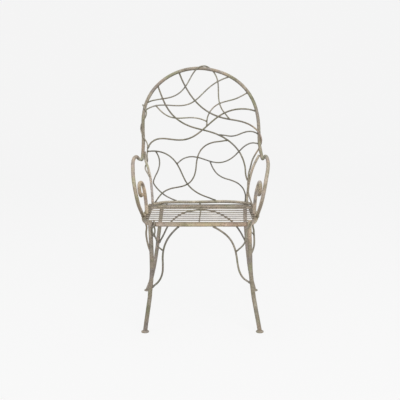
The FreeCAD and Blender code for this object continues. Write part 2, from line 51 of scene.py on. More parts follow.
# Corner points of each bar's centre line: straight runs rounded by arcs.
ROUTES = {
    "arch": [
        (-269.8, 138.5, 655.1), (-264.7, 175.0, 648.6), (-259.9, 192.9, 727.6), (-262.3, 202.5, 788.6),
        (-261.4, 212.1, 849.5), (-247.1, 221.5, 908.6), (-216.5, 229.8, 961.2), (-172.7, 236.6, 1003.9),
        (-119.9, 241.5, 1035.3), (-61.3, 244.4, 1053.8), (0.2, 245.1, 1058.1), (61.1, 243.6, 1048.8),
        (119.4, 240.5, 1029.0), (171.8, 235.5, 997.2), (214.6, 228.6, 953.4), (244.4, 220.2, 900.3),
        (259.4, 210.9, 841.4), (264.1, 201.3, 780.7), (265.3, 191.6, 719.8), (279.0, 180.0, 650.7),
        (280.6, 144.8, 659.3),
    ],
    "left_arm": [
        (-269.8, 138.5, 655.1), (-274.9, 102.0, 661.6), (-277.8, 68.0, 674.5), (-282.0, 39.0, 678.7),
        (-283.5, -13.3, 679.3), (-283.0, -65.4, 675.6), (-279.8, -117.0, 668.3), (-274.8, -167.9, 657.4),
        (-270.0, -216.9, 640.0), (-263.2, -256.6, 608.1), (-254.5, -259.2, 559.5), (-249.4, -229.2, 517.8),
        (-243.9, -188.3, 485.9), (-241.2, -143.1, 461.5), (-240.0, -97.0, 444.0),
    ],
    "right_arm": [
        (280.6, 144.8, 659.3), (282.2, 109.5, 667.8), (282.5, 83.0, 676.0), (283.6, 30.2, 680.3),
        (282.2, -22.9, 677.9), (280.3, -75.4, 669.7), (276.0, -127.2, 658.6), (269.0, -178.0, 644.7),
        (259.6, -225.7, 623.1), (250.0, -262.5, 589.1), (242.9, -248.1, 540.7), (239.0, -208.5, 505.5),
        (236.2, -163.9, 476.9), (234.0, -108.5, 444.0),
    ],
    "seat_frame": [
        (-232.0, 160.0, 440.0), (-240.0, -90.0, 440.0), (-237.0, -135.0, 440.0), (-231.0, -171.0, 440.0),
        (-223.5, -195.0, 440.0), (-213.0, -216.0, 440.0), (-196.0, -233.0, 440.0), (-170.0, -242.5, 440.0),
        (160.0, -242.5, 440.0), (190.0, -235.0, 440.0), (209.0, -212.0, 440.0), (218.6, -183.0, 440.0),
        (226.0, -148.0, 440.0), (231.5, -115.0, 440.0), (234.3, -90.0, 440.0), (236.0, 160.0, 440.0),
    ],
    "seat_rear_bar": [
        (-231.0, 80.0, 441.5), (-216.0, 95.0, 443.0), (-206.0, 112.0, 443.5), (-192.0, 125.5, 443.5),
        (-165.0, 129.0, 443.5), (180.0, 129.0, 443.5), (201.0, 125.5, 443.5), (212.0, 113.0, 443.5),
        (219.0, 98.0, 443.0), (230.0, 84.0, 441.5),
    ],
    "seat_centre_rod": [
        (-7.9, -243.0, 438.5), (-5.6, -130.0, 438.5), (-2.2, -20.0, 438.5), (0.4, 60.0, 438.5),
        (1.8, 122.0, 438.5),
    ],
    "left_scroll": [
        (-231.0, -50.5, 443.0), (-231.2, -52.0, 469.0), (-232.9, -57.2, 498.1), (-235.2, -66.3, 526.4),
        (-237.6, -78.9, 553.2), (-241.7, -95.7, 576.3), (-245.2, -119.9, 591.0), (-250.2, -147.1, 593.8),
        (-251.0, -172.7, 582.0), (-248.3, -172.9, 556.6), (-245.7, -150.3, 538.4), (-241.8, -122.5, 540.1),
    ],
    "right_scroll": [
        (228.0, -50.5, 443.0), (228.7, -52.5, 474.5), (230.0, -58.3, 502.5), (231.8, -67.5, 529.6),
        (235.2, -80.0, 555.2), (239.5, -96.6, 577.8), (241.6, -120.9, 592.5), (242.2, -147.3, 596.2),
        (242.4, -173.0, 585.0), (241.2, -171.2, 560.3), (239.4, -149.3, 542.7), (236.4, -122.5, 544.4),
    ],
    "left_upright": [
        (-255.7, 194.0, 684.3), (-253.8, 192.5, 667.6), (-252.5, 187.0, 648.5), (-247.8, 182.5, 633.5),
        (-241.1, 178.0, 617.1), (-236.1, 173.7, 598.0), (-231.5, 169.7, 579.8), (-227.6, 166.4, 561.0),
        (-225.4, 163.2, 540.3), (-221.4, 156.4, 497.2), (-219.6, 152.5, 467.9), (-219.0, 149.5, 436.0),
    ],
    "right_upright": [
        (265.5, 192.0, 668.0), (241.6, 178.7, 625.5), (226.8, 170.0, 582.8), (217.0, 162.8, 537.8),
        (214.4, 158.5, 509.3), (211.7, 156.6, 491.2), (210.4, 154.4, 474.9), (209.9, 151.2, 457.5),
    ],
    "branch_top_left_to_right_wrap": [
        (-99.9, 242.7, 1042.4), (-87.9, 235.6, 1012.2), (-73.9, 229.6, 982.7), (-57.6, 225.0, 954.1),
        (-38.7, 220.8, 927.0), (-17.1, 216.8, 902.1), (7.4, 212.8, 880.0), (34.7, 209.5, 861.5),
        (63.8, 214.6, 846.8), (94.9, 215.8, 836.0), (127.4, 213.9, 829.3), (160.2, 211.4, 824.5),
        (192.5, 207.8, 817.7), (223.0, 202.7, 805.7), (249.7, 195.8, 787.3), (269.6, 189.7, 762.5),
        (277.5, 194.9, 731.1), (267.3, 199.5, 700.1), (249.3, 188.9, 674.3), (233.5, 185.1, 645.5),
        (226.0, 178.5, 613.3), (217.0, 168.0, 588.0), (216.2, 160.0, 572.9), (213.4, 155.6, 551.6),
        (212.7, 151.4, 530.3), (214.1, 148.5, 511.9), (217.4, 148.0, 495.9), (221.1, 146.0, 482.4),
        (225.5, 142.0, 469.3), (230.8, 137.0, 455.5), (235.5, 131.0, 442.0),
    ],
    "branch_upper_left_to_right_post": [
        (-196.5, 233.4, 983.2), (-183.7, 224.4, 950.0), (-170.7, 219.3, 916.0), (-155.1, 222.3, 883.6),
        (-134.4, 212.2, 855.0), (-108.3, 205.1, 830.3), (-77.6, 203.7, 810.2), (-43.9, 204.5, 795.6),
        (-8.4, 205.4, 785.8), (27.4, 204.3, 777.5), (62.5, 201.5, 767.2), (96.1, 197.3, 752.7),
        (127.1, 192.2, 733.7), (154.7, 186.9, 710.0), (177.4, 181.9, 681.6), (193.1, 177.6, 648.7),
        (202.3, 173.4, 613.4), (202.8, 170.3, 591.2), (206.0, 168.0, 571.8), (212.0, 165.5, 556.1),
    ],
    "branch_long_wave": [
        (-241.7, 188.2, 698.0), (-226.5, 192.5, 726.6), (-197.7, 194.8, 742.4), (-164.6, 194.6, 743.8),
        (-131.5, 193.5, 739.3), (-98.4, 192.6, 736.3), (-65.2, 192.5, 739.2), (-34.3, 193.9, 751.3),
        (-6.8, 196.2, 769.9), (18.6, 199.0, 791.3), (43.5, 201.5, 813.4), (69.0, 204.0, 834.7),
        (95.3, 213.6, 851.8), (124.7, 219.9, 865.2), (156.9, 221.0, 873.6), (190.0, 220.8, 876.4),
        (223.1, 218.8, 873.5), (254.8, 214.5, 864.3),
    ],
    "branch_looped_over_arch": [
        (-250.0, 220.4, 901.3), (-226.0, 223.7, 911.3), (-200.4, 225.9, 916.8), (-174.4, 227.0, 920.4),
        (-148.5, 227.7, 924.5), (-123.2, 228.7, 931.5), (-100.2, 230.6, 943.9), (-80.8, 233.2, 961.3),
        (-64.9, 236.1, 982.0), (-51.9, 236.8, 1004.8), (-39.3, 236.0, 1027.9), (-24.1, 233.8, 1049.1),
        (-4.9, 240.8, 1064.8), (19.0, 249.0, 1069.1), (41.9, 254.2, 1057.7), (59.7, 249.6, 1039.9),
        (71.6, 239.1, 1019.0), (77.9, 231.6, 994.8), (79.7, 227.7, 968.9), (79.9, 223.8, 942.9),
        (81.4, 219.9, 917.0), (86.8, 215.7, 891.7), (98.7, 210.8, 868.8), (115.4, 208.6, 848.8),
        (131.3, 213.6, 828.6),
    ],
    "branch_upper_cross": [
        (-257.5, 214.9, 866.5), (-225.8, 215.2, 885.1), (-190.1, 214.9, 893.2), (-153.3, 214.5, 893.0),
        (-116.5, 215.7, 890.3), (-79.8, 218.6, 890.4), (-44.6, 222.6, 899.6), (-14.9, 226.7, 920.8),
        (11.1, 231.0, 946.5), (37.7, 235.1, 971.7), (67.4, 238.5, 993.2), (100.3, 240.3, 1009.5),
        (135.2, 239.4, 1021.3),
    ],
    "branch_left_hook": [
        (-204.5, 215.3, 892.2), (-183.8, 214.6, 868.2), (-159.4, 213.8, 848.0), (-130.2, 213.4, 835.9),
        (-98.6, 213.3, 833.7), (-66.9, 213.5, 835.8), (-35.2, 213.1, 837.0), (-3.9, 211.3, 832.3),
        (25.5, 207.6, 820.9),
    ],
    "branch_upper_right": [
        (214.6, 228.1, 950.1), (185.9, 226.3, 933.6), (155.6, 224.8, 919.4), (122.9, 224.2, 911.5),
        (90.4, 223.5, 903.1), (61.2, 221.7, 887.0), (39.6, 218.2, 861.7), (27.5, 211.0, 831.4),
        (27.7, 200.0, 799.9),
    ],
    "branch_right_short": [
        (82.4, 199.1, 759.3), (109.2, 198.7, 758.0), (135.6, 197.7, 752.7), (162.1, 198.2, 757.0),
        (186.8, 199.8, 767.7), (212.6, 200.8, 775.6), (239.4, 200.5, 774.7), (263.1, 198.4, 762.3),
    ],
    "branch_centre_descending": [
        (120.9, 192.9, 736.1), (89.2, 191.1, 730.6), (56.9, 190.1, 727.6), (26.5, 188.1, 716.5),
        (1.7, 184.7, 696.0), (-13.3, 180.2, 667.5), (-19.7, 175.8, 636.0), (-22.1, 172.5, 603.7),
        (-29.9, 169.7, 572.3), (-48.0, 167.0, 545.6), (-76.1, 164.5, 530.0), (-108.0, 161.7, 524.3),
        (-139.9, 158.3, 519.0), (-169.1, 154.5, 505.5), (-191.0, 151.3, 481.8), (-208.7, 149.6, 454.5),
    ],
    "branch_left_to_rail": [
        (-243.2, 184.7, 685.9), (-208.3, 184.5, 688.2), (-173.9, 183.2, 682.6), (-142.6, 180.5, 667.4),
        (-117.1, 176.6, 643.8), (-98.4, 171.8, 614.7), (-84.0, 166.8, 583.1), (-69.2, 161.8, 551.8),
        (-48.2, 157.5, 524.3), (-20.7, 154.6, 502.9), (10.6, 152.8, 487.3), (43.7, 152.0, 475.9),
        (75.7, 150.8, 462.0),
    ],
    "branch_lower_left": [
        (-204.2, 184.3, 687.7), (-188.9, 179.9, 658.9), (-185.9, 175.1, 626.5), (-195.3, 170.7, 595.2),
        (-208.0, 167.6, 573.0), (-217.4, 164.4, 546.5), (-206.6, 162.6, 529.0), (-188.0, 161.0, 508.1), (-162.7, 158.0, 486.9),
        (-133.1, 154.8, 472.7), (-102.6, 150.6, 460.4),
    ],
    "branch_lower_wave": [
        (-107.9, 174.4, 630.7), (-82.2, 180.8, 653.4), (-48.9, 184.9, 663.0), (-14.1, 185.3, 659.5),
        (19.2, 183.6, 648.6), (52.5, 181.8, 637.4), (87.3, 181.2, 633.9), (121.1, 182.6, 642.8),
        (150.4, 185.6, 661.7), (174.8, 189.6, 686.6), (199.9, 192.9, 710.9), (231.2, 194.0, 725.9),
        (265.0, 191.6, 719.7),
    ],
    "branch_lower_right": [
        (42.9, 181.9, 638.2), (55.6, 176.7, 607.6), (76.2, 172.1, 581.4), (105.2, 169.1, 565.1),
        (137.8, 167.4, 556.9), (168.7, 165.0, 544.1), (193.0, 161.0, 521.4), (204.4, 156.0, 490.6),
        (201.8, 150.5, 457.6),
    ],
    "left_vine": [
        (-263.3, 219.4, 894.8), (-252.6, 206.6, 880.3), (-245.0, 210.7, 860.0), (-250.3, 217.5, 839.6),
        (-263.0, 217.6, 821.2), (-271.4, 209.5, 802.9), (-272.2, 198.1, 783.8), (-265.6, 188.9, 764.7),
        (-256.2, 186.0, 744.8), (-243.8, 188.6, 726.2), (-239.9, 189.3, 704.8), (-242.7, 183.4, 683.4),
        (-244.3, 184.0, 664.0), (-241.5, 185.5, 648.2), (-244.5, 192.0, 633.7), (-249.9, 190.0, 623.8),
        (-253.7, 184.0, 614.5), (-252.3, 176.0, 605.0), (-245.9, 168.0, 594.7), (-238.0, 163.6, 583.9),
        (-233.0, 162.2, 574.4),
    ],
    "left_front_leg": [
        (-202.9, -247.0, 456.0), (-201.5, -247.7, 430.0), (-200.2, -248.5, 396.0), (-199.1, -250.2, 368.0),
        (-197.9, -252.0, 339.0), (-197.1, -254.0, 311.0), (-196.6, -256.0, 283.0), (-196.4, -258.0, 255.0),
        (-198.5, -260.0, 227.0), (-201.4, -261.5, 198.0), (-204.1, -263.0, 170.0), (-206.5, -264.2, 142.0),
        (-210.5, -265.3, 114.6), (-214.5, -267.8, 86.0), (-218.8, -270.2, 58.8), (-227.2, -273.7, -3.0),
    ],
    "right_front_leg": [
        (194.3, -247.0, 456.0), (193.8, -247.7, 430.0), (194.2, -248.5, 396.0), (195.5, -250.2, 368.0),
        (196.7, -252.0, 339.0), (197.7, -254.0, 311.0), (198.4, -256.0, 283.0), (199.8, -258.0, 255.0),
        (202.6, -260.0, 227.0), (206.0, -261.5, 198.0), (209.7, -263.0, 170.0), (213.5, -264.2, 142.0),
        (218.8, -265.3, 114.6), (223.8, -267.8, 86.0), (229.2, -270.2, 58.8), (240.7, -273.7, -3.0),
    ],
    "left_rear_leg": [
        (-174.8, 140.0, 445.0), (-178.7, 141.8, 416.0), (-182.4, 143.5, 388.0), (-186.2, 148.2, 362.0),
        (-189.2, 152.8, 336.5), (-192.9, 159.4, 312.0), (-196.4, 166.2, 286.5), (-199.4, 173.5, 262.0),
        (-202.4, 180.9, 237.1), (-206.6, 189.2, 212.0), (-210.4, 197.1, 188.4), (-214.9, 206.0, 164.0),
        (-219.2, 214.7, 140.4), (-224.3, 224.4, 116.0), (-229.1, 233.5, 93.3), (-235.7, 243.4, 70.0),
        (-243.0, 254.2, 45.0), (-260.8, 276.0, -3.3),
    ],
    "right_rear_leg": [
        (202.0, 140.0, 445.0), (201.4, 141.8, 416.0), (202.1, 143.5, 388.0), (204.1, 148.2, 362.0),
        (206.6, 152.8, 336.5), (209.1, 159.4, 312.0), (211.7, 166.2, 286.5), (213.9, 173.5, 262.0),
        (216.3, 180.9, 237.1), (219.4, 189.2, 212.0), (222.5, 197.1, 188.4), (225.9, 206.0, 164.0),
        (229.2, 214.7, 140.4), (233.5, 224.4, 116.0), (237.6, 233.5, 93.3), (242.8, 243.4, 70.0),
        (248.8, 254.2, 45.0), (262.4, 276.0, -3.3),
    ],
    "back_bottom_rail": [
        (-219.0, 149.6, 448.9), (-161.9, 150.3, 457.8), (-106.2, 150.5, 458.8), (-50.5, 150.5, 458.4),
        (5.2, 150.6, 458.8), (60.9, 150.9, 460.3), (116.6, 151.1, 460.9), (176.0, 150.6, 457.8),
        (232.0, 150.6, 449.5),
    ],
    "left_front_brace": [
        (-84.5, -242.5, 436.0), (-114.1, -246.1, 408.3), (-135.2, -248.2, 380.0), (-148.6, -250.6, 347.2),
        (-153.7, -253.2, 312.3), (-152.2, -256.1, 276.9), (-153.6, -259.4, 241.7), (-167.8, -262.8, 209.6),
        (-202.2, -262.5, 181.0),
    ],
    "right_front_brace": [
        (42.5, -242.5, 436.0), (77.1, -245.5, 416.3), (103.2, -246.9, 397.6), (123.6, -248.7, 372.9),
        (136.5, -250.9, 343.6), (143.4, -253.2, 312.3), (147.4, -255.7, 280.5), (154.2, -258.7, 249.3),
        (170.1, -261.5, 221.7), (207.0, -261.9, 199.0),
    ],
    "left_brace_twig": [
        (-154.4, -252.5, 337.3), (-165.0, -255.0, 347.0), (-174.0, -257.5, 354.6), (-176.5, -259.5, 367.5),
        (-175.1, -260.5, 378.8), (-180.1, -261.5, 389.2), (-185.5, -262.0, 400.8), (-182.2, -262.0, 413.0),
        (-182.5, -260.5, 424.4), (-185.4, -257.0, 433.8), (-185.0, -254.5, 446.0), (-186.5, -243.0, 453.5),
        (-187.5, -229.0, 449.5),
    ],
    "left_twig_loop": [
        (-184.0, -261.5, 395.7), (-190.1, -262.5, 406.6), (-193.6, -262.0, 417.9), (-194.0, -261.0, 427.4),
        (-189.2, -259.0, 435.1), (-183.8, -256.5, 439.4),
    ],
    "right_brace_twig": [
        (139.1, -251.5, 329.6), (146.6, -253.5, 336.3), (154.7, -257.0, 344.7), (163.2, -260.5, 353.4),
        (170.4, -264.0, 362.8), (175.4, -265.5, 373.8), (178.8, -266.0, 387.0), (180.6, -265.5, 401.6),
        (180.2, -264.0, 414.7), (183.0, -261.5, 425.1), (189.3, -260.0, 434.1), (196.4, -259.5, 441.7),
        (200.0, -252.5, 453.5),
    ],
    "rear_arch_brace": [
        (-191.6, 165.0, 265.5), (-180.5, 160.5, 285.6), (-169.0, 156.5, 307.8), (-153.8, 151.0, 342.4),
        (-135.9, 146.0, 367.8), (-112.8, 140.0, 389.6), (-87.5, 134.0, 407.6), (-55.6, 129.0, 419.7),
        (1.0, 127.0, 429.0), (55.4, 129.0, 421.0), (85.0, 133.0, 408.7), (114.8, 139.0, 390.8),
        (144.9, 146.0, 367.8), (166.0, 151.0, 342.4), (183.5, 156.5, 315.8), (195.6, 160.5, 291.7),
        (207.1, 165.0, 272.6),
    ],
    "left_side_brace": [
        (-238.0, -40.0, 432.0), (-233.2, -66.0, 400.4), (-229.2, -76.0, 392.6), (-229.7, -88.0, 384.5),
        (-230.5, -101.0, 375.3), (-229.2, -114.0, 366.7), (-226.5, -128.0, 357.2), (-224.0, -141.0, 349.2),
        (-220.7, -153.0, 341.9), (-217.3, -166.0, 335.8), (-213.3, -183.0, 330.3), (-208.1, -204.0, 325.2),
        (-203.2, -228.0, 321.8), (-198.9, -250.0, 318.9),
    ],
    "right_side_brace": [
        (234.5, -40.0, 432.0), (220.3, -66.0, 400.4), (221.3, -76.0, 392.6), (223.1, -88.0, 385.3),
        (223.5, -100.0, 376.4), (223.0, -114.0, 366.7), (222.9, -128.0, 357.2), (222.4, -142.0, 345.6),
        (221.0, -156.0, 336.2), (218.2, -172.0, 329.6), (213.5, -191.0, 323.9), (207.9, -213.0, 319.1),
        (202.2, -235.0, 315.7), (198.7, -251.0, 313.4),
    ],
    "right_side_link": [
        (198.7, -244.0, 412.9), (208.9, -180.0, 392.4), (221.1, -116.0, 370.2),
    ],
}

SLAT_COUNT, SLAT_FIRST_Y, SLAT_PITCH, SLAT_Z = 9, -220.0, 41.3, 444.0


# ------------------------------------------------------------------ routes
def rounded(pts, ease=0.46, fine=1.0):
    """Dense points along straight runs joined by tangent arcs."""
    p = [np.array(q, float) for q in pts]
    out = [p[0]]
    for i in range(1, len(p) - 1):
        a, b = p[i] - p[i - 1], p[i + 1] - p[i]
        la, lb = np.linalg.norm(a), np.linalg.norm(b)
        a, b = a / la, b / lb
        turn = math.acos(max(-1.0, min(1.0, float(a @ b))))
        if turn < 0.004:
            continue
        t = ease * min(la, lb)
        radius = t / math.tan(turn / 2.0)
        start = p[i] - a * t
        inward = b - a
        inward /= np.linalg.norm(inward)
        centre = p[i] + inward * (radius / math.cos(turn / 2.0))
        u = (start - centre) / radius
        n = max(3, int(radius * turn / fine) + 1)
        for k in range(n + 1):
            ang = turn * k / n
            out.append(centre + radius * (u * math.cos(ang) + a * math.sin(ang)))
    out.append(p[-1])
    return np.array(out)


def even(pts, step):
    """The same line with evenly spaced points."""
    seg = np.linalg.norm(np.diff(pts, axis=0), axis=1)
    keep = np.concatenate([[True], seg > 1e-6])
    pts = pts[keep]
    s = np.concatenate([[0], np.cumsum(np.linalg.norm(np.diff(pts, axis=0), axis=1))])
    n = max(3, int(round(s[-1] / step)) + 1)
    at = np.linspace(0, s[-1], n)
    return np.stack([np.interp(at, s, pts[:, k]) for k in range(3)], 1)


def relaxed(pts, step, sigma, closed=False):
    """Gaussian smoothing along the line, which keeps the two ends."""
    if sigma <= 0:
        return pts
    w = int(3 * sigma / step) + 1
    k = np.exp(-0.5 * (np.arange(-w, w + 1) * step / sigma) ** 2)
    k /= k.sum()
    if closed:
        pad = np.concatenate([pts[-w:], pts, pts[:w]])
    else:
        pad = np.concatenate([2 * pts[0] - pts[1:w + 1][::-1], pts, 2 * pts[-1] - pts[-w - 1:-1][::-1]])
    return np.stack([np.convolve(pad[:, c], k, "valid") for c in range(3)], 1)


def line_of(pts, step=1.5, sigma=3.0):
    q = even(rounded(pts), 0.75)
    if len(q) > 60:
        q = relaxed(q, 0.75, sigma)
    return even(q, step)


# ------------------------------------------------------------------- noise
def hashed(ix, iy, iz, seed):
    h = (ix * 374761393 + iy * 668265263 + iz * 2147483647 + seed * 1274126177) & 0xFFFFFFFF
    h = ((h ^ (h >> 13)) * 1274126177) & 0xFFFFFFFF
    h = (h ^ (h >> 16)) & 0xFFFF
    return h.astype(float) / 32767.5 - 1.0


def noise3(p, cell, seed):
    """Smooth value noise, -1 to 1, at points p in mm with the given cell size."""
    q = np.asarray(p, float) / cell
    i = np.floor(q).astype(np.int64)
    f = q - i
    f = f * f * f * (f * (f * 6 - 15) + 10)
    out = 0.0
    for dx in (0, 1):
        for dy in (0, 1):
            for dz in (0, 1):
                w = (f[..., 0] if dx else 1 - f[..., 0]) * (f[..., 1] if dy else 1 - f[..., 1]) * (f[..., 2] if dz else 1 - f[..., 2])
                out = out + w * hashed(i[..., 0] + dx, i[..., 1] + dy, i[..., 2] + dz, seed)
    return out


# -------------------------------------------------------------------- bars
class Bar:
    """A round bar along a line, with its own hand-forged surface."""

    def __init__(self, name, line, radius, slot, nodes, closed=False, sides=None):
        self.name, self.line, self.radius, self.slot, self.nodes = name, line, radius, slot, nodes
        self.closed = closed
        self.sides = sides or (28 if radius > 5.5 else 20 if radius > 3.4 else 16)
        self.weld = None


BARS = {}
STEP = 1.8


def add(name, pts, dia, slot, nodes=None, sigma=3.0, closed=False, sides=None):
    BARS[name] = Bar(name, line_of(pts, STEP, sigma), dia / 2.0, slot, nodes or [name], closed, sides)


arch = ROUTES["arch"]
back_hoop = list(reversed(ROUTES["left_arm"])) + arch[1:] + ROUTES["right_arm"][1:]
add("back_hoop_and_arms", back_hoop, 15.5, "heavy_bar", ["arch_hoop", "left_arm", "right_arm"], 3.5)
add("seat_frame_run", ROUTES["seat_frame"], 18.0, "heavy_bar", ["seat_frame"], 6.0)
add("seat_rear_run", ROUTES["seat_rear_bar"], 18.0, "heavy_bar", ["seat_rear_bar"], 4.0)
for side in ("left", "right"):
    add(side + "_scroll_bar", ROUTES[side + "_scroll"], 15.5, "heavy_bar", [side + "_arm_scroll"])
    add(side + "_back_post", ROUTES[side + "_upright"], 12.0, "heavy_bar", [side + "_upright"])
    for where in ("front", "rear"):
        add("%s_%s_leg_bar" % (side, where), ROUTES["%s_%s_leg" % (side, where)], 18.0, "heavy_bar",
            ["%s_%s_leg" % (side, where)], 5.0)
    add(side + "_front_root", ROUTES[side + "_front_brace"], 8.0, "root_bar", [side + "_front_brace"])
    add(side + "_side_root", ROUTES[side + "_side_brace"], 8.0, "root_bar", [side + "_side_brace"])
    add(side + "_root_twig", ROUTES[side + "_brace_twig"], 6.5, "root_bar", [side + "_brace_twig"])
add("left_root_twig_limb", ROUTES["left_twig_loop"], 5.5, "root_bar")
add("right_side_root_link", ROUTES["right_side_link"], 5.5, "root_bar")
add("rear_arch_root", ROUTES["rear_arch_brace"], 8.0, "root_bar", ["rear_arch_brace"], 5.0)
add("lower_back_rail", ROUTES["back_bottom_rail"], 14.0, "branch_bar", ["back_bottom_rail"])
STOUT = ("branch_top_left_to_right_wrap", "branch_upper_left_to_right_post", "branch_long_wave")
MIDDLE = ("branch_centre_descending", "branch_left_to_rail")
for key in ROUTES:
    dia = 7.6 if key in STOUT else 6.8 if key in MIDDLE else 6.4
    if key.startswith("branch_"):
        add(key.replace("branch_", "twig_"), ROUTES[key], dia, "branch_bar", [key])
add("vine_left_side", ROUTES["left_vine"], 6.4, "branch_bar", ["left_vine"])
add("seat_middle_rod", ROUTES["seat_centre_rod"], 6.0, "seat_bar", ["seat_centre_rod"])
run, back = BARS["seat_frame_run"].line, BARS["seat_rear_run"].line
for i in range(SLAT_COUNT):
    y = SLAT_FIRST_Y + i * SLAT_PITCH
    rng = np.random.default_rng(500 + i)
    w = rng.uniform(-0.5, 0.5, 4)
    rail = back if i == SLAT_COUNT - 1 else run
    near = rail[np.abs(rail[:, 1] - y) < 1.6]
    x0, x1 = near[near[:, 0] < 0, 0].mean(), near[near[:, 0] > 0, 0].mean()
    pts = [(x0, y, SLAT_Z)] + [(-160.0 + 107.0 * k, y + w[k], SLAT_Z - abs(w[k]) * 0.4) for k in range(4)] + [(x1, y, SLAT_Z)]
    add("cross_slat_%d" % (i + 1), pts, 5.0, "seat_bar", ["seat_slat_%d" % (i + 1)], sides=14)
for key, x in (("tie_left", -155.0), ("tie_middle", -3.0)):
    add(key, [(x, 126.0, 441.0), (x, 138.2, 450.2), (x, 150.5, 459.5)], 8.0, "branch_bar", ["back_rail_ties"])

# what each bar's first and last end is welded to: (names at the start, names at the end)
HOOP, FRAME, REAR = "back_hoop_and_arms", "seat_frame_run", "seat_rear_run"
HOSTS = {
    HOOP: (FRAME, FRAME), FRAME: (None, None), REAR: (FRAME, FRAME),
    "left_scroll_bar": (FRAME, None), "right_scroll_bar": (FRAME, None),
    "left_back_post": (HOOP, FRAME), "right_back_post": (HOOP, "lower_back_rail"),
    "left_front_leg_bar": (None, None), "right_front_leg_bar": (None, None),
    "left_rear_leg_bar": (REAR, None), "right_rear_leg_bar": (REAR, None),
    "left_front_root": (FRAME, "left_front_leg_bar"), "right_front_root": (FRAME, "right_front_leg_bar"),
    "left_side_root": (FRAME, "left_front_leg_bar"), "right_side_root": (FRAME, "right_front_leg_bar"),
    "left_root_twig": ("left_front_root", FRAME), "right_root_twig": ("right_front_root", "right_front_leg_bar"),
    "left_root_twig_limb": ("left_root_twig", "left_root_twig"),
    "right_side_root_link": ("right_front_leg_bar", "right_side_root"),
    "rear_arch_root": ("left_rear_leg_bar", "right_rear_leg_bar"),
    "lower_back_rail": ("left_back_post", FRAME),
    "twig_top_left_to_right_wrap": (HOOP, FRAME),
    "twig_upper_left_to_right_post": (HOOP, "right_back_post"),
    "vine_left_side": (HOOP, "left_back_post"),
    "twig_long_wave": ("vine_left_side", HOOP),
    "twig_looped_over_arch": (HOOP, "twig_top_left_to_right_wrap"),
    "twig_upper_cross": (HOOP, HOOP),
    "twig_upper_right": (HOOP, "twig_long_wave"),
    "twig_left_hook": ("twig_upper_cross", "twig_upper_right"),
    "twig_right_short": ("twig_upper_left_to_right_post", HOOP),
    "twig_centre_descending": ("twig_upper_left_to_right_post", "lower_back_rail"),
    "twig_left_to_rail": ("vine_left_side", "lower_back_rail"),
    "twig_lower_left": ("twig_left_to_rail", "lower_back_rail"),
    "twig_lower_wave": ("twig_left_to_rail", HOOP),
    "twig_lower_right": ("twig_lower_wave", "lower_back_rail"),
    "seat_middle_rod": (FRAME, REAR),
    "tie_left": (REAR, "lower_back_rail"), "tie_middle": (REAR, "lower_back_rail"),
}
for i in range(SLAT_COUNT):
    HOSTS["cross_slat_%d" % (i + 1)] = (REAR, REAR) if i == SLAT_COUNT - 1 else (FRAME, FRAME)
# lumps of weld metal on a bar: where, height, reach
LUMPS = {FRAME: [((-178.0, -251.0, 441.0), 2.6, 9.0), ((-196.0, -242.0, 445.0), 1.6, 9.0), ((199.0, -240.0, 445.0), 1.6, 9.0)],
         HOOP: [((-239.0, -103.0, 449.0), 1.5, 8.0), ((233.0, -112.0, 449.0), 1.5, 8.0)],
         REAR: [((-181.0, 130.0, 433.0), 1.8, 9.0), ((202.0, 130.0, 433.0), 1.8, 9.0)]}


def gap_to(points, host):
    """Distance from each point to the host's centre line."""
    h = host.line
    d = np.empty(len(points))
    for k in range(0, len(points), 400):
        q = points[k:k + 400]
        d[k:k + 400] = np.sqrt(((q[:, None, :] - h[None, ::2, :]) ** 2).sum(-1)).min(1)
    return d


def trim(bar, host, at_start):
    """Cuts the bar's end back until it sits just inside the host's surface."""
    line = bar.line if at_start else bar.line[::-1]
    n = min(len(line) - 4, 90)
    d = gap_to(line[:n], host)
    depth = min(2.2, host.radius * 0.6)
    k = 0
    while k < n - 1 and d[k] < host.radius - depth:
        k += 1
    line = line[k:]
    bar.line = line if at_start else line[::-1]


for name, bar in BARS.items():
    if name.endswith("_leg_bar"):
        bar.line = bar.line[bar.line[:, 2] > 2.2]

for name, ends in HOSTS.items():
    for host, at_start in ((ends[0], True), (ends[1], False)):
        if host:
            trim(BARS[name], BARS[host], at_start)


def frames(line, closed):
    """Tangents and two normals that don't twist along the line."""
    if closed:
        t = np.roll(line, -1, 0) - np.roll(line, 1, 0)
    else:
        t = np.gradient(line, axis=0)
    t /= np.linalg.norm(t, axis=1)[:, None]
    ref = np.array([0.0, 0.0, 1.0]) if abs(t[0, 2]) < 0.8 else np.array([0.0, -1.0, 0.0])
    n = ref - t[0] * (ref @ t[0])
    n /= np.linalg.norm(n)
    N = np.empty_like(line)
    N[0] = n
    for i in range(1, len(line)):
        n = n - t[i] * (n @ t[i])
        n /= np.linalg.norm(n)
        N[i] = n
    if closed:  # spread the leftover twist over the whole loop
        last = N[-1] - t[0] * (N[-1] @ t[0])
        last /= np.linalg.norm(last)
        ang = math.atan2(float(np.cross(last, N[0]) @ t[0]), float(last @ N[0]))
        turn = ang * np.arange(len(line)) / len(line)
        B = np.cross(t, N)
        N = N * np.cos(turn)[:, None] + B * np.sin(turn)[:, None]
    return t, N, np.cross(t, N)


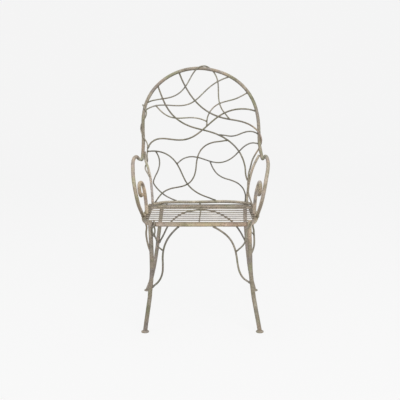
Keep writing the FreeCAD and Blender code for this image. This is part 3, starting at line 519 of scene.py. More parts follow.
def skin(bar, seed):
    """Radius at each ring and side: slow drift, hammer flats, pits, weld swellings."""
    line, R, m = bar.line, bar.radius, bar.sides
    t, N, B = frames(line, bar.closed)
    n = len(line)
    s = np.concatenate([[0], np.cumsum(np.linalg.norm(np.diff(line, axis=0), axis=1))])
    th = np.arange(m) * 2 * math.pi / m
    ring = np.cos(th)[None, :, None] * N[:, None, :] + np.sin(th)[None, :, None] * B[:, None, :]
    base = line[:, None, :] + ring * R
    drift = 0.5 + 0.5 * noise3(line + seed, 46.0, 3)
    r = R * (1.0 - 0.035 * drift)[:, None] * np.ones((1, m))
    r -= R * 0.02 * (0.5 + 0.5 * noise3(base + seed, 15.0, 5))
    rng = np.random.default_rng(seed)
    flats = int(s[-1] / (4.2 if R > 5 else 5.5))
    sj, tj = rng.uniform(0, s[-1], flats), rng.uniform(0, 2 * math.pi, flats)
    dj = rng.uniform(0.12, 0.55, flats) * (R / 8.0)
    lj = rng.uniform(3.0, 8.5, flats) * (0.6 + R / 16.0)
    for a in range(flats):
        k = np.nonzero(np.abs(s - sj[a]) < lj[a])[0]
        if not len(k):
            continue
        c = np.cos(th - tj[a])
        on = c > 0.5
        depth = dj[a] * (1 - ((s[k] - sj[a]) / lj[a]) ** 2)
        flat = (r[k].max(1) - depth)[:, None] / c[None, on]
        r[np.ix_(k, np.nonzero(on)[0])] = np.minimum(r[np.ix_(k, np.nonzero(on)[0])], flat)
    r -= 0.05 * (1 + noise3(base + seed, 2.6, 9)) * (R / 8.0)
    weld = np.zeros((n, m))
    for at, high, reach in LUMPS.get(bar.name, ()):
        d = np.linalg.norm(base - np.array(at), axis=-1)
        swell = np.exp(-(d / reach) ** 2)
        r += high * swell * (1.0 + 0.35 * noise3(base, 3.4, 23))
        weld = np.maximum(weld, swell)
    for host, at_start in ((HOSTS.get(bar.name, (None, None))[0], True), (HOSTS.get(bar.name, (None, None))[1], False)):
        if not host:
            continue
        h = BARS[host]
        d = s if at_start else s[-1] - s
        gap = gap_to(line, h) - h.radius
        near = d < 60.0
        lump = 1.0 + 0.45 * noise3(base, 3.4, 21) + 0.3 * noise3(base, 1.7, 22)
        size = 0.45 + 0.17 * R
        width = 1.5 + 0.36 * R
        if bar.name.startswith("cross_slat"):
            size, width = 0.5, 1.6
        surface = np.maximum(gap, -h.radius * 0.4)
        swell = np.where(near, np.exp(-(np.maximum(surface, 0) / width) ** 2), 0.0)
        r += size * swell[:, None] * np.clip(lump, 0.2, 1.8)
        weld = np.maximum(weld, swell[:, None] * np.clip(lump, 0.3, 1.3))
    return t, N, B, ring, r, weld, s


MESHES = {}


def shape(bar, seed):
    t, N, B, ring, r, weld, s = skin(bar, seed)
    line, m = bar.line, bar.sides
    bar.s = s
    bar.verts = line[:, None, :] + ring * r[:, :, None]
    if bar.name.endswith("_leg_bar"):
        bar.verts[:, :, 2] = np.maximum(bar.verts[:, :, 2], 1.2)
    bar.weld = weld


SEEDS = {name: 11 + 7 * i for i, name in enumerate(BARS)}
for name, bar in BARS.items():
    shape(bar, SEEDS[name])


# painted shade: the paint is darkened where bars press together, standing in for the shade between them
def crevice_shade():
    names = list(BARS)
    boxes = {}
    for n in names:
        v = BARS[n].line
        boxes[n] = (v.min(0) - 16, v.max(0) + 16)
    for n in names:
        a = BARS[n]
        k, m = a.verts.shape[:2]
        dirt = np.zeros((k, m))
        for o in names:
            if o == n:
                continue
            b = BARS[o]
            if (boxes[n][0] > boxes[o][1]).any() or (boxes[n][1] < boxes[o][0]).any():
                continue
            gap = gap_to(a.line, b) - b.radius - a.radius
            rows = np.nonzero(gap < 9.0)[0]
            if not len(rows):
                continue
            d = gap_to(a.verts[rows].reshape(-1, 3), b) - b.radius
            dirt[rows] = np.maximum(dirt[rows], np.exp(-np.maximum(d, 0).reshape(len(rows), m) / 3.2))
        a.dirt = dirt * (0.4 if n.endswith("_leg_bar") else 1.0)


crevice_shade()


# lighter, darker, warmer or cooler coats of paint: red, green, blue and strength
COATS = {
    FRAME: (1.06, 1.0, 0.86, 1.22), REAR: (1.02, 1.0, 0.97, 1.20),
    "left_scroll_bar": (1.09, 1.0, 0.90, 1.34), "right_scroll_bar": (1.0, 1.0, 0.98, 1.48),
    "left_back_post": (1.03, 1.05, 1.06, 1.45), "right_back_post": (1.01, 1.02, 1.01, 1.40),
    "vine_left_side": (1.02, 1.0, 0.93, 1.36),
    "left_front_leg_bar": (1.02, 1.0, 0.98, 0.84), "right_front_leg_bar": (1.0, 1.0, 0.94, 0.93),
    "left_rear_leg_bar": (1.03, 1.0, 1.04, 1.08), "right_rear_leg_bar": (1.03, 1.0, 1.04, 1.20),
    "lower_back_rail": (1.05, 1.0, 0.90, 1.48), "rail_ties": (1.02, 1.0, 0.95, 0.90),
    "left_front_root": (1.02, 1.0, 0.95, 0.87), "right_front_root": (1.05, 1.0, 0.92, 1.24),
    "left_root_twig_fork": (1.02, 1.0, 0.93, 1.02), "right_root_twig": (1.02, 1.0, 0.88, 1.08),
    "left_side_root": (1.12, 1.0, 0.86, 0.98), "right_side_root_fork": (1.06, 1.0, 0.90, 1.02),
    "rear_arch_root": (1.02, 1.0, 0.98, 0.92),
    "twig_top_left_to_right_wrap": (1.02, 1.0, 0.92, 0.80), "twig_upper_left_to_right_post": (1.03, 1.0, 0.90, 0.86),
    "twig_long_wave": (1.03, 1.0, 0.89, 0.90), "twig_looped_over_arch": (1.01, 1.0, 0.89, 1.06),
    "twig_upper_cross": (1.01, 1.0, 0.94, 1.08), "twig_left_hook": (1.02, 1.0, 0.89, 1.22),
    "twig_upper_right": (1.03, 1.0, 0.94, 1.16), "twig_right_short": (1.02, 1.0, 0.93, 0.78),
    "twig_centre_descending": (1.04, 1.0, 0.90, 0.78), "twig_left_to_rail": (1.02, 1.0, 0.90, 0.70),
    "twig_lower_left": (1.02, 1.0, 0.97, 0.80), "twig_lower_wave": (1.0, 1.0, 0.97, 0.84),
    "twig_lower_right": (1.01, 1.0, 0.95, 0.77),
}


# rubbed or glazed patches, and painted light lifting spots that lie in shade: piece, middle, reach, and red, green,
# blue there
RUB_PATCHES_AND_PAINTED_LIGHT = (
    # painted light: the next two lift the arm ends, which lie in shade where they dip into the hoop
    (HOOP, (-273.5, 106.0, 661.0), 52.0, (1.75, 2.15, 2.25)),
    (HOOP, (281.5, 110.0, 667.0), 50.0, (1.75, 1.95, 1.95)),
    (HOOP, (-266.0, 186.0, 700.0), 45.0, (0.92, 0.84, 0.80)),
    (HOOP, (-283.0, 0.0, 679.0), 75.0, (0.84, 0.83, 0.84)),
    (HOOP, (283.0, 10.0, 680.0), 70.0, (0.86, 0.94, 0.90)),
    (HOOP, (-277.0, -140.0, 660.0), 80.0, (0.97, 0.97, 1.05)),
    # painted light: lifts the shaded underside of the scroll's back bar
    ("left_scroll_bar", (-241.0, -88.0, 568.0), 40.0, (1.45, 1.55, 1.62)),
    ("left_scroll_bar", (-250.0, -168.0, 576.0), 38.0, (0.80, 0.76, 0.80)),
    ("left_scroll_bar", (-232.0, -56.0, 490.0), 60.0, (0.94, 0.94, 1.0)),
    ("right_scroll_bar", (238.0, -88.0, 566.0), 38.0, (1.32, 1.28, 1.25)),
    ("right_scroll_bar", (241.0, -168.0, 572.0), 40.0, (1.04, 0.88, 0.90)),
    ("right_scroll_bar", (229.0, -54.0, 470.0), 60.0, (0.84, 0.88, 0.94)),
    (FRAME, (-225.0, -200.0, 440.0), 75.0, (0.76, 0.80, 0.94)),
    (FRAME, (-150.0, -245.0, 440.0), 80.0, (0.93, 0.94, 1.12)),
    (FRAME, (30.0, -245.0, 440.0), 60.0, (0.97, 1.02, 0.98)),
    (FRAME, (140.0, -245.0, 440.0), 90.0, (0.98, 0.86, 0.98)),
    (FRAME, (222.0, -205.0, 440.0), 78.0, (1.28, 1.30, 1.48)),
    # painted light: the next two lift the front leg tops, which lie in the seat frame's shade
    ("left_front_leg_bar", (-220.0, -235.0, 425.0), 60.0, (1.40, 1.38, 1.36)),
    ("right_front_leg_bar", (222.0, -235.0, 425.0), 80.0, (2.15, 2.0, 2.05)),
)


def coat(name, verts):
    v = np.asarray(verts, float)
    if name.startswith("cross_slat"):
        c = (1.09, 1.0, 0.91, 1.27)
    elif name == "seat_middle_rod":
        c = (1.03, 1.0, 0.94, 1.05)
    # painted shade: the edge flats are darkened to stand for the shaded gap beside the side rails
    elif name.endswith("_edge_bar"):
        c = (1.04, 1.0, 0.94, 0.85)
    else:
        c = COATS.get(name, (1.0, 1.0, 0.98, 1.0))
    out = np.ones((len(v), 4))
    out[:, :3] = np.array(c[:3]) * c[3]
    if name == HOOP:  # the arms are rubbed lighter than the hoop, the left one most
        w = np.clip((136.0 - v[:, 1]) / 40.0, 0.0, 1.0)[:, None]
        arm = np.where(v[:, :1] < 0, np.array([[1.22, 1.15, 1.11]]), np.array([[1.08, 1.04, 1.01]]))
        out[:, :3] = np.array([[1.03, 1.03, 1.01]]) * (1 - w) + arm * w
        low = (np.clip((585.0 - v[:, 2]) / 80.0, 0.0, 1.0) * w[:, 0])[:, None]
        out[:, :3] *= 1.0 + np.where(v[:, :1] < 0, 0.36, 0.80) * low
    elif name == "twig_top_left_to_right_wrap":  # paler where it winds round the hoop and down
        w = (np.clip((815.0 - v[:, 2]) / 25.0, 0.0, 1.0) * np.clip((v[:, 0] - 195.0) / 15.0, 0.0, 1.0))[:, None]
        low = np.clip((685.0 - v[:, 2:3]) / 20.0, 0.0, 1.0)
        mid = low * np.clip((v[:, 2:3] - 585.0) / 25.0, 0.0, 1.0)
        out[:, :3] *= 1.0 + (np.array([[0.95, 0.70, 0.66]]) * (1 - low) + np.array([[0.55, 0.48, 0.46]]) * (low - mid)) * w
    elif name == "twig_upper_left_to_right_post":
        w = np.clip((640.0 - v[:, 2]) / 60.0, 0.0, 1.0)[:, None]
        out[:, :3] *= 1.0 + np.array([[0.28, 0.26, 0.26]]) * w
    elif name in (REAR, FRAME):  # darker towards the top, lighter towards the lower face
        t = np.clip((v[:, 2:3] - (443.5 if name == REAR else 440.5)) / 9.0, -1.0, 1.0)
        out[:, :3] *= np.clip(1.28 - 1.10 * t, 0.42, 2.0) if name == REAR else 1.08 - 0.58 * t
    for bar, middle, reach, change in RUB_PATCHES_AND_PAINTED_LIGHT:
        if bar == name:
            d = np.linalg.norm(v - np.array(middle), axis=1) / reach
            w = np.clip(1.0 - d, 0.0, 1.0)[:, None]
            out[:, :3] *= 1.0 + (np.array([change]) - 1.0) * (w * w * (3 - 2 * w))
    out[:, :3] = np.minimum(out[:, :3], 2.1)
    return out


# ------------------------------------------------------------------ meshes
def finish_mesh(name, verts, faces, uv, attrs, slot_name, nodes, smooth=True, sharp=()):
    me = bpy.data.meshes.new(name)
    me.from_pydata([tuple(v) for v in np.asarray(verts) * MM], [], faces)
    me.update()
    lay = me.uv_layers.new(name="OFBake")
    lay.data.foreach_set("uv", np.asarray(uv, np.float32).ravel())
    for key, val in attrs.items():
        at = me.attributes.new(key, "FLOAT", "POINT")
        at.data.foreach_set("value", np.asarray(val, np.float32))
    at = me.attributes.new("tint", "FLOAT_COLOR", "POINT")
    at.data.foreach_set("color", np.asarray(coat(name, verts), np.float32).ravel())
    me.polygons.foreach_set("use_smooth", np.full(len(me.polygons), smooth))
    ob = bpy.data.objects.new(name, me)
    bpy.context.scene.collection.objects.link(ob)
    me.materials.append(MATERIALS[slot_name])
    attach(ob, "root")
    if nodes:
        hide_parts(*nodes)
    return ob


def strips(n_rows, m, length, girth, closed):
    """A tidy map: the bar's skin is cut into equal lengths laid side by side."""
    rows = n_rows if closed else n_rows - 1
    k = max(1, int(round(math.sqrt(length / girth))))
    per = int(math.ceil(rows / k))
    return k, per


def bar_mesh(bar):
    n, m = bar.verts.shape[:2]
    verts = bar.verts.reshape(-1, 3).tolist()
    faces, uv = [], []
    rows = n if bar.closed else n - 1
    length = float(bar.s[-1])
    girth = 2 * math.pi * bar.radius
    k, per = strips(n, m, length, girth, bar.closed)
    pad = 0.06
    for i in range(rows):
        j = (i + 1) % n
        c, q = divmod(i, per)
        v0, v1 = q / per, (q + 1) / per
        v0, v1 = 0.005 + 0.95 * v0, 0.005 + 0.95 * v1
        for a in range(m):
            b = (a + 1) % m
            faces.append((i * m + a, i * m + b, j * m + b, j * m + a))
            u0 = (c + pad / 2 + (1 - pad) * a / m) / k
            u1 = (c + pad / 2 + (1 - pad) * (a + 1) / m) / k
            uv += [(u0, v0), (u1, v0), (u1, v1), (u0, v1)]
    weld, dirt = bar.weld.reshape(-1).tolist(), bar.dirt.reshape(-1).tolist()
    if not bar.closed:
        for end, row, sign in ((0, 0, -1), (1, n - 1, 1)):
            free = HOSTS.get(bar.name, (None, None))[end] is None
            if end == 1 and bar.name.endswith("_leg_bar"):
                free = False
            centre = bar.line[row]
            t = bar.line[row] - bar.line[row - 1] if end else bar.line[0] - bar.line[1]
            t = t / np.linalg.norm(t)
            first = row * m
            prev = list(range(first, first + m))
            steps = ((0.94, 0.16), (0.80, 0.30), (0.55, 0.40)) if free else ((0.7, 0.05),)
            for sc, out in steps:
                at = len(verts)
                ringv = centre + (bar.verts[row] - centre) * sc + t * bar.radius * out
                verts += ringv.tolist()
                weld += bar.weld[row].tolist()
                dirt += bar.dirt[row].tolist()
                for a in range(m):
                    b = (a + 1) % m
                    f = (prev[a], at + a, at + b, prev[b]) if end == 0 else (prev[a], prev[b], at + b, at + a)
                    if end == 0:
                        f = (prev[b], prev[a], at + a, at + b)
                    faces.append(f)
                    u = 0.002 + 0.9 * a / m
                    uv += [(u, 0.965 + 0.012 * end)] * 4
                prev = list(range(at, at + m))
            at = len(verts)
            verts.append((centre + t * bar.radius * (0.42 if free else 0.05)).tolist())
            weld.append(float(bar.weld[row].mean()))
            dirt.append(float(bar.dirt[row].mean()))
            for a in range(m):
                b = (a + 1) % m
                faces.append((prev[b], prev[a], at) if end == 0 else (prev[a], prev[b], at))
                uv += [(0.5, 0.965 + 0.012 * end)] * 3
    return finish_mesh(bar.name, np.array(verts), faces, uv, {"weld": weld, "dirt": dirt}, bar.slot, bar.nodes)


# --------------------------------------------------------------- materials
def ramp(nt, fac, stops, mode="LINEAR"):
    n = nt.nodes.new("ShaderNodeValToRGB")
    n.color_ramp.interpolation = mode
    e = n.color_ramp.elements
    while len(e) < len(stops):
        e.new(0.5)
    for q, (pos, col) in zip(e, stops):
        q.position = pos
        q.color = (*col, 1.0) if len(col) == 3 else (col[0], col[0], col[0], 1.0)
    nt.links.new(fac, n.inputs[0])
    return n.outputs[0]


def noise_node(nt, vec, scale, detail=4.0, rough=0.55, distort=0.0):
    n = nt.nodes.new("ShaderNodeTexNoise")
    n.inputs["Scale"].default_value = scale
    n.inputs["Detail"].default_value = detail
    n.inputs["Roughness"].default_value = rough
    n.inputs["Distortion"].default_value = distort
    nt.links.new(vec, n.inputs["Vector"])
    return n.outputs["Fac"]


def blend_rgb(nt, fac, a, b, kind="MIX"):
    n = nt.nodes.new("ShaderNodeMix")
    n.data_type = "RGBA"
    n.blend_type = kind
    for socket, value in ((n.inputs[0], fac), (n.inputs[6], a), (n.inputs[7], b)):
        if hasattr(value, "links"):
            nt.links.new(value, socket)
        elif isinstance(value, (tuple, list)):
            socket.default_value = (*value, 1.0)
        else:
            socket.default_value = value
    return n.outputs[2]


def calc(nt, op, a, b=None, clamp=False):
    n = nt.nodes.new("ShaderNodeMath")
    n.operation = op
    n.use_clamp = clamp
    for i, v in enumerate((a, b)):
        if v is None:
            continue
        if hasattr(v, "links"):
            nt.links.new(v, n.inputs[i])
        else:
            n.inputs[i].default_value = v
    return n.outputs[0]


def paint(name, offset, tones, lift=1.0, patch=15.0, speck=1.0):
    """Aged rubbed paint on forged iron. tones: taupe, olive, tan, mauve, bone, dark, iron."""
    taupe, olive, tan, mauve, bone, dark, iron = [tuple(min(1.0, c * lift) for c in t) for t in tones]
    m = bpy.data.materials.new(name)
    m.use_nodes = True
    nt = m.node_tree
    nt.nodes.clear()
    out = nt.nodes.new("ShaderNodeOutputMaterial")
    bsdf = nt.nodes.new("ShaderNodeBsdfPrincipled")
    nt.links.new(bsdf.outputs[0], out.inputs[0])
    co = nt.nodes.new("ShaderNodeTexCoord")
    mp = nt.nodes.new("ShaderNodeMapping")
    mp.inputs["Location"].default_value = offset
    nt.links.new(co.outputs["Object"], mp.inputs["Vector"])
    vec = mp.outputs["Vector"]
    mp2 = nt.nodes.new("ShaderNodeMapping")
    mp2.inputs["Location"].default_value = (offset[1] + 3.1, offset[2] - 1.7, offset[0] + 0.9)
    nt.links.new(co.outputs["Object"], mp2.inputs["Vector"])
    vec2 = mp2.outputs["Vector"]

    broad = noise_node(nt, vec, patch, 2.0, 0.5, 0.4)
    second = noise_node(nt, vec2, patch * 1.35, 2.0, 0.5, 0.4)
    third = noise_node(nt, vec, patch * 2.6, 2.0, 0.5, 0.3)
    mid = noise_node(nt, vec2, 70.0, 4.0, 0.55, 0.4)
    mottle = noise_node(nt, vec2, 190.0, 4.0, 0.6, 0.3)
    fine = noise_node(nt, vec, 620.0, 3.0, 0.6)

    # large soft fields of colour, as several coats rubbed through by hand
    base = ramp(nt, broad, [(0.34, olive), (0.45, taupe), (0.54, taupe), (0.66, tan)])
    base = blend_rgb(nt, ramp(nt, second, [(0.53, (0.0,)), (0.66, (0.85,))]), base, mauve)
    base = blend_rgb(nt, ramp(nt, second, [(0.32, (0.75,)), (0.45, (0.0,))]), base, olive)
    base = blend_rgb(nt, ramp(nt, third, [(0.55, (0.0,)), (0.70, (0.60,))]), base, bone)
    base = blend_rgb(nt, ramp(nt, third, [(0.30, (0.50,)), (0.43, (0.0,))]), base, dark)
    # smaller flecks: bone coloured undercoat and darker glaze left in the pores
    base = blend_rgb(nt, ramp(nt, mid, [(0.55, (0.0,)), (0.72, (0.32 * speck,))]), base, bone)
    base = blend_rgb(nt, ramp(nt, mid, [(0.28, (0.45 * speck,)), (0.42, (0.0,))]), base, dark)
    base = blend_rgb(nt, ramp(nt, mottle, [(0.32, (0.34 * speck,)), (0.44, (0.0,))]), base, dark)
    base = blend_rgb(nt, ramp(nt, fine, [(0.58, (0.0,)), (0.74, (0.35 * speck,))]), base, bone)

    # chips down to dark iron
    vor = nt.nodes.new("ShaderNodeTexVoronoi")
    vor.feature = "F1"
    vor.inputs["Scale"].default_value = 210.0
    vor.inputs["Randomness"].default_value = 1.0
    nt.links.new(vec, vor.inputs["Vector"])
    spot = calc(nt, "SUBTRACT", vor.outputs["Distance"], calc(nt, "MULTIPLY", mid, 0.50))
    chips = ramp(nt, spot, [(0.0, (1.0,)), (0.05, (0.0,))])
    base = blend_rgb(nt, calc(nt, "MULTIPLY", chips, 0.7), base, iron)

    # painted shade where bars press together, greyer lumpy welds
    dirt = nt.nodes.new("ShaderNodeAttribute")
    dirt.attribute_name = "dirt"
    weld = nt.nodes.new("ShaderNodeAttribute")
    weld.attribute_name = "weld"
    d = calc(nt, "MULTIPLY", dirt.outputs["Fac"], calc(nt, "ADD", mottle, 0.40), clamp=True)
    base = blend_rgb(nt, calc(nt, "MULTIPLY", d, 0.80), base, dark)
    w = calc(nt, "MULTIPLY", weld.outputs["Fac"], calc(nt, "ADD", fine, 0.1), clamp=True)
    base = blend_rgb(nt, calc(nt, "MULTIPLY", w, 0.40), base, mauve)

    # tops lightened towards bone, weather bleaching together with a painted highlight; undersides darkened as painted
    # shade
    geo = nt.nodes.new("ShaderNodeNewGeometry")
    sep = nt.nodes.new("ShaderNodeSeparateXYZ")
    nt.links.new(geo.outputs["Normal"], sep.inputs[0])
    up = ramp(nt, calc(nt, "ADD", calc(nt, "MULTIPLY", sep.outputs["Z"], 0.5), calc(nt, "MULTIPLY", mottle, 0.5)),
              [(0.45, (0.0,)), (0.85, (0.35,))])
    base = blend_rgb(nt, up, base, bone)
    # painted shade: faces turned down are darkened towards the dark tone
    down = ramp(nt, calc(nt, "SUBTRACT", calc(nt, "MULTIPLY", mottle, 0.6), sep.outputs["Z"]),
                [(0.45, (0.0,)), (1.15, (0.65,))])
    base = blend_rgb(nt, down, base, dark)
    tint = nt.nodes.new("ShaderNodeAttribute")
    tint.attribute_name = "tint"
    base = blend_rgb(nt, 1.0, base, tint.outputs["Color"], "MULTIPLY")
    nt.links.new(base, bsdf.inputs["Base Color"])

    rough = ramp(nt, mottle, [(0.30, (0.86,)), (0.52, (0.70,)), (0.72, (0.58,))])
    nt.links.new(rough, bsdf.inputs["Roughness"])
    bsdf.inputs["Metallic"].default_value = 0.0
    bsdf.inputs["Specular IOR Level"].default_value = 0.30

    height = calc(nt, "ADD", calc(nt, "MULTIPLY", mid, 0.8), calc(nt, "MULTIPLY", mottle, 0.50))
    height = calc(nt, "ADD", height, calc(nt, "MULTIPLY", fine, 0.35))
    height = calc(nt, "SUBTRACT", height, calc(nt, "MULTIPLY", chips, 0.5))
    bump = nt.nodes.new("ShaderNodeBump")
    bump.inputs["Strength"].default_value = 0.70
    bump.inputs["Distance"].default_value = 0.0010
    nt.links.new(height, bump.inputs["Height"])
    nt.links.new(bump.outputs[0], bsdf.inputs["Normal"])
    return m


# taupe, olive, tan, mauve, bone, dark glaze (also the painted shade colour), bare iron
TONES = (
    (0.400, 0.345, 0.278), (0.330, 0.325, 0.215), (0.490, 0.385, 0.300), (0.340, 0.300, 0.285),
    (0.600, 0.555, 0.475), (0.165, 0.142, 0.105), (0.085, 0.068, 0.052))
GREYER = (
    (0.380, 0.352, 0.305), (0.330, 0.330, 0.250), (0.430, 0.375, 0.315), (0.330, 0.315, 0.305),
    (0.600, 0.575, 0.520), (0.150, 0.138, 0.115), (0.080, 0.070, 0.060))
MATERIALS = {
    "heavy_bar": paint("heavy_bar_paint", (0.37, 0.11, 0.53), TONES, 1.0, 12.0, 0.9),
    "branch_bar": paint("branch_bar_paint", (1.71, 0.92, 0.28), GREYER, 0.86, 12.0, 0.8),
    "root_bar": paint("root_bar_paint", (0.92, 1.44, 2.17), GREYER, 0.72, 12.0, 0.8),
    "seat_bar": paint("seat_bar_paint", (2.46, 1.37, 0.81), GREYER, 0.80, 10.0, 0.7),
    "foot_disc": paint("foot_disc_paint", (0.15, 2.21, 1.64), TONES, 0.95, 22.0, 0.9),
}


JOINED = {
    "rail_ties": (["tie_left", "tie_middle"], "branch_bar", ["back_rail_ties"]),
    "left_root_twig_fork": (["left_root_twig", "left_root_twig_limb"], "root_bar", ["left_brace_twig"]),
    "right_side_root_fork": (["right_side_root", "right_side_root_link"], "root_bar", ["right_side_brace"]),
}
TAKEN = [n for names, _, _ in JOINED.values() for n in names]
for name, bar in BARS.items():
    if name not in TAKEN:
        bar_mesh(bar)


def joined_mesh(name, bars, slot_name, nodes):
    """Several separate bars in one piece."""
    made = []
    for b in bars:
        b.nodes = None
        made.append(bar_mesh(b))
    verts, faces, uv, weld, dirt = [], [], [], [], []
    for k, ob in enumerate(made):
        me = ob.data
        base = len(verts)
        verts += [tuple(v.co / MM) for v in me.vertices]
        faces += [tuple(base + i for i in p.vertices) for p in me.polygons]
        for l in me.uv_layers["OFBake"].data:
            uv.append(((l.uv[0] + k) / len(made), l.uv[1]))
        weld += [a.value for a in me.attributes["weld"].data]
        dirt += [a.value for a in me.attributes["dirt"].data]
        bpy.data.objects.remove(ob)
        bpy.data.meshes.remove(me)
    return finish_mesh(name, verts, faces, uv, {"weld": weld, "dirt": dirt}, slot_name, nodes)


for name, (names, slot_name, nodes) in JOINED.items():
    joined_mesh(name, [BARS[n] for n in names], slot_name, nodes)


# ------------------------------------------------------- flats of the seat
def flat_bar(name, side, inner, node, seed, step=3.0, ease=1.2, thick=6.0, top=441.5):
    """Flat along the inside of a side rail: its outer edge is buried in the rail."""
    rail = BARS[FRAME].line
    rail = rail[(rail[:, 0] * side > 0)]
    rail = rail[np.argsort(rail[:, 1])]
    ys = np.arange(-230.0, 96.0, step)
    outer = np.interp(ys, rail[:, 1], np.abs(rail[:, 0])) - 3.0
    keep = outer > inner + 2.6
    keep &= ys < 92.0
    ys, outer = ys[keep], outer[keep]
    rows = len(ys)
    w = (outer - inner) / 2.0
    xc = side * (outer + inner) / 2.0
    h = thick / 2.0
    zc = top - h
    prof = []
    for cx, cz, a0 in ((1, 1, 0), (-1, 1, 90), (-1, -1, 180), (1, -1, 270)):
        for k in range(4):
            a = math.radians(a0 + 30 * k)
            prof.append((cx, cz, math.cos(a), math.sin(a)))
    m0 = len(prof)
    ring = np.empty((rows, m0, 2))
    for k, (cx, cz, ca, sa) in enumerate(prof):
        ring[:, k, 0] = cx * (w - ease) + ease * ca
        ring[:, k, 1] = cz * (h - ease) + ease * sa
    dense = []
    for k in range(m0):
        q = ring[:, (k + 1) % m0] - ring[:, k]
        n = 5 if k % 4 == 3 else 1
        for j in range(n):
            dense.append(ring[:, k] + q * (j / n))
    P = np.stack(dense, 1)
    m = P.shape[1]
    base = np.empty((rows, m, 3))
    base[:, :, 0] = xc[:, None] + P[:, :, 0]
    base[:, :, 1] = ys[:, None]
    base[:, :, 2] = zc + P[:, :, 1]
    shrink = 1.0 - 0.03 * (0.5 + 0.5 * noise3(base + seed, 9.0, 31)) - 0.02 * (0.5 + 0.5 * noise3(base + seed, 26.0, 32))
    V = base.copy()
    V[:, :, 0] = xc[:, None] + P[:, :, 0] * shrink
    V[:, :, 2] = zc + P[:, :, 1] * shrink
    verts = V.reshape(-1, 3).tolist()
    faces, uv = [], []
    k = 3
    per = int(math.ceil((rows - 1) / k))
    for i in range(rows - 1):
        c, q = divmod(i, per)
        v0, v1 = 0.005 + 0.95 * q / per, 0.005 + 0.95 * (q + 1) / per
        for a in range(m):
            b = (a + 1) % m
            faces.append((i * m + a, (i + 1) * m + a, (i + 1) * m + b, i * m + b))
            u0, u1 = (c + 0.03 + 0.94 * a / m) / k, (c + 0.03 + 0.94 * (a + 1) / m) / k
            uv += [(u0, v0), (u0, v1), (u1, v1), (u1, v0)]
    for row, end in ((0, 0), (rows - 1, 1)):
        at = len(verts)
        verts.append([float(xc[row]), float(ys[row]), zc])
        for a in range(m):
            b = (a + 1) % m
            faces.append((row * m + a, row * m + b, at) if end == 0 else (row * m + b, row * m + a, at))
            uv += [(0.5 + 0.02 * math.cos(a), 0.975 + 0.01 * math.sin(a) * (1 - 2 * end))] * 3
    pts = np.array(verts)
    # painted shade laid evenly over the whole flat
    dirt = np.full(len(pts), 0.85)
    return finish_mesh(name, pts, faces, uv, {"weld": np.zeros(len(pts)), "dirt": dirt}, "seat_bar", [node])


flat_bar("left_slat_edge_bar", -1, 216.0, "left_seat_edge_bar", 61)
flat_bar("right_slat_edge_bar", 1, 213.5, "right_seat_edge_bar", 62)


# -------------------------------------------------------------------- feet
def foot(name, node, seed):
    lo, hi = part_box(node)
    cx, cy = (lo.x + hi.x) / 2.0 / MM, (lo.y + hi.y) / 2.0 / MM
    R = 15.95
    prof = [(0.0, 0.0), (6.0, 0.0), (11.0, 0.0), (14.4, 0.0), (15.5, 0.35), (15.9, 1.0), (R, 2.2), (15.9, 3.3),
            (15.5, 4.2), (14.7, 4.7), (13.6, 4.85), (12.2, 4.8), (11.2, 5.0), (10.4, 5.6), (9.9, 6.4), (9.2, 7.1), (8.0, 7.4), (0.0, 7.4)]
    m = 48
    verts, faces, uv = [], [], []
    th = np.arange(m) * 2 * math.pi / m
    rings = []
    leg = BARS[name.replace("_pad", "_leg_bar")]
    t = leg.line[-1] - leg.line[-8]
    t = t / np.linalg.norm(t)
    foot_at = leg.line[-1] + t * (5.0 - leg.line[-1][2]) / t[2]
    for r, z in prof:
        lean = np.array([0.0, 0.0])
        if z > 5.0:
            lean = (leg.line[-1] + t * (z - leg.line[-1][2]) / t[2] - foot_at)[:2]
        if r == 0.0:
            rings.append([len(verts)])
            verts.append([cx + lean[0], cy + lean[1], z])
            continue
        p = np.stack([cx + lean[0] + r * np.cos(th), cy + lean[1] + r * np.sin(th), np.full(m, z)], 1)
        k = 0.5 + 0.5 * noise3(p + seed, 7.0, 41)
        k2 = noise3(p + seed, 2.6, 42)
        shrink = 1.0 - 0.035 * k if z <= 5.1 else 1.0 + 0.05 * k2
        p[:, 0] = cx + lean[0] + (p[:, 0] - cx - lean[0]) * shrink
        p[:, 1] = cy + lean[1] + (p[:, 1] - cy - lean[1]) * shrink
        if z > 2.5:
            p[:, 2] -= 0.35 * k
        rings.append(list(range(len(verts), len(verts) + m)))
        verts += p.tolist()
    reach = 0.0
    cum = [0.0]
    for (r0, z0), (r1, z1) in zip(prof, prof[1:]):
        cum.append(cum[-1] + math.hypot(r1 - r0, z1 - z0))
    for i in range(len(rings) - 1):
        a, b = rings[i], rings[i + 1]
        v0, v1 = cum[i] / cum[-1] * 0.98 + 0.01, cum[i + 1] / cum[-1] * 0.98 + 0.01
        for k in range(m):
            j = (k + 1) % m
            u0, u1 = 0.01 + 0.98 * k / m, 0.01 + 0.98 * (k + 1) / m
            if len(a) == 1:
                faces.append((a[0], b[j], b[k]))
                uv += [((u0 + u1) / 2, v0), (u1, v1), (u0, v1)]
            elif len(b) == 1:
                faces.append((a[k], a[j], b[0]))
                uv += [(u0, v0), (u1, v0), ((u0 + u1) / 2, v1)]
            else:
                faces.append((a[k], a[j], b[j], b[k]))
                uv += [(u0, v0), (u1, v0), (u1, v1), (u0, v1)]
    pts = np.array(verts)
    weld = np.exp(-((pts[:, 2] - 8.0) / 3.0) ** 2) * (np.hypot(pts[:, 0] - cx, pts[:, 1] - cy) < 12)
    # painted shade: darker towards the bottom where the foot stands on the floor
    dirt = np.exp(-pts[:, 2] / 1.2) * 0.8
    return finish_mesh(name, pts, faces, uv, {"weld": weld, "dirt": dirt}, "foot_disc", [node])


for i, leg in enumerate(("left_front", "right_front", "left_rear", "right_rear")):
    foot(leg + "_pad", leg + "_foot", 90 + 5 * i)


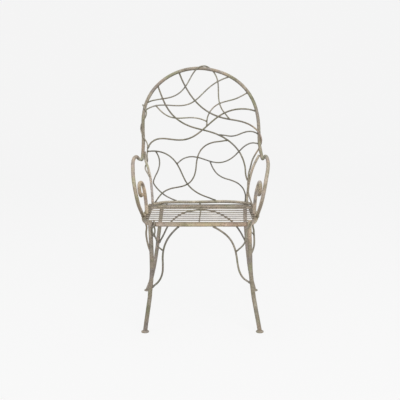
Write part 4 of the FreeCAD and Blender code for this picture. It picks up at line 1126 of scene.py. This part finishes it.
# ------------------------------------------------------- studio and camera
def studio():
    m = bpy.data.materials.new("studio_paper")
    m.use_nodes = True
    nt = m.node_tree
    nt.nodes.clear()
    out = nt.nodes.new("ShaderNodeOutputMaterial")
    mix = nt.nodes.new("ShaderNodeMixShader")
    em = nt.nodes.new("ShaderNodeEmission")
    em.inputs["Color"].default_value = (1.0, 1.0, 1.0, 1.0)
    em.inputs["Strength"].default_value = 0.95
    df = nt.nodes.new("ShaderNodeBsdfDiffuse")
    df.inputs["Color"].default_value = (0.9, 0.9, 0.9, 1.0)
    mix.inputs[0].default_value = 0.10
    nt.links.new(em.outputs[0], mix.inputs[1])
    nt.links.new(df.outputs[0], mix.inputs[2])
    nt.links.new(mix.outputs[0], out.inputs[0])
    # floor that curves up into a backdrop
    verts, faces = [], []
    rows = [(-6.0, 0.0)]
    rows += [(4.0 + 2.0 * math.sin(math.radians(a)), 2.0 - 2.0 * math.cos(math.radians(a))) for a in range(0, 91, 6)]
    rows.append((6.0, 7.0))
    cols = [-9.0 + 1.5 * k for k in range(13)]
    for y, z in rows:
        for x in cols:
            verts.append((x, y, z))
    n = len(cols)
    for i in range(len(rows) - 1):
        for k in range(n - 1):
            faces.append((i * n + k, i * n + k + 1, (i + 1) * n + k + 1, (i + 1) * n + k))
    me = bpy.data.meshes.new("studio_sweep")
    me.from_pydata(verts, [], faces)
    me.polygons.foreach_set("use_smooth", np.ones(len(me.polygons), bool))
    me.materials.append(m)
    ob = bpy.data.objects.new("studio_sweep", me)
    ob.visible_diffuse = False
    bpy.context.scene.collection.objects.link(ob)


studio()


def lamp(name, loc, aim, size, power, colour=(1.0, 1.0, 1.0)):
    from mathutils import Vector
    li = bpy.data.lights.new(name, "AREA")
    li.shape = "RECTANGLE"
    li.size, li.size_y = size
    li.energy = power
    li.color = colour
    ob = bpy.data.objects.new(name, li)
    ob.location = loc
    ob.rotation_euler = (Vector(aim) - Vector(loc)).to_track_quat("-Z", "Y").to_euler()
    bpy.context.scene.collection.objects.link(ob)
    return ob


lamp("key_soft", (1.3, -2.9, 2.6), (0.0, 0.0, 0.55), (1.6, 1.6), 53.0, (1.0, 0.985, 0.96))
lamp("fill_soft", (-2.2, -2.4, 1.6), (0.0, 0.0, 0.5), (1.8, 1.8), 20.0, (0.97, 0.985, 1.0))
lamp("top_soft", (0.0, 0.2, 3.2), (0.0, 0.0, 0.4), (2.2, 2.2), 16.0)

world = bpy.data.worlds.new("studio_world")
world.use_nodes = True
bg = world.node_tree.nodes["Background"]
bg.inputs["Color"].default_value = (1.0, 1.0, 1.0, 1.0)
bg.inputs["Strength"].default_value = 0.50
bpy.context.scene.world = world

cam_data = bpy.data.cameras.new("camera")
cam_data.sensor_fit = "HORIZONTAL"
cam_data.sensor_width = 36.0
cam_data.lens = 61.74
cam_data.clip_start = 0.05
cam_data.clip_end = 60.0
cam = bpy.data.objects.new("camera", cam_data)
cam.location = (-0.0035, -2.9185, 1.027)
cam.rotation_euler = (math.radians(79.673), 0.0, 0.0)
bpy.context.scene.collection.objects.link(cam)
bpy.context.scene.camera = cam
bpy.context.scene.view_settings.view_transform = "Standard"
bpy.context.scene.view_settings.look = "None"
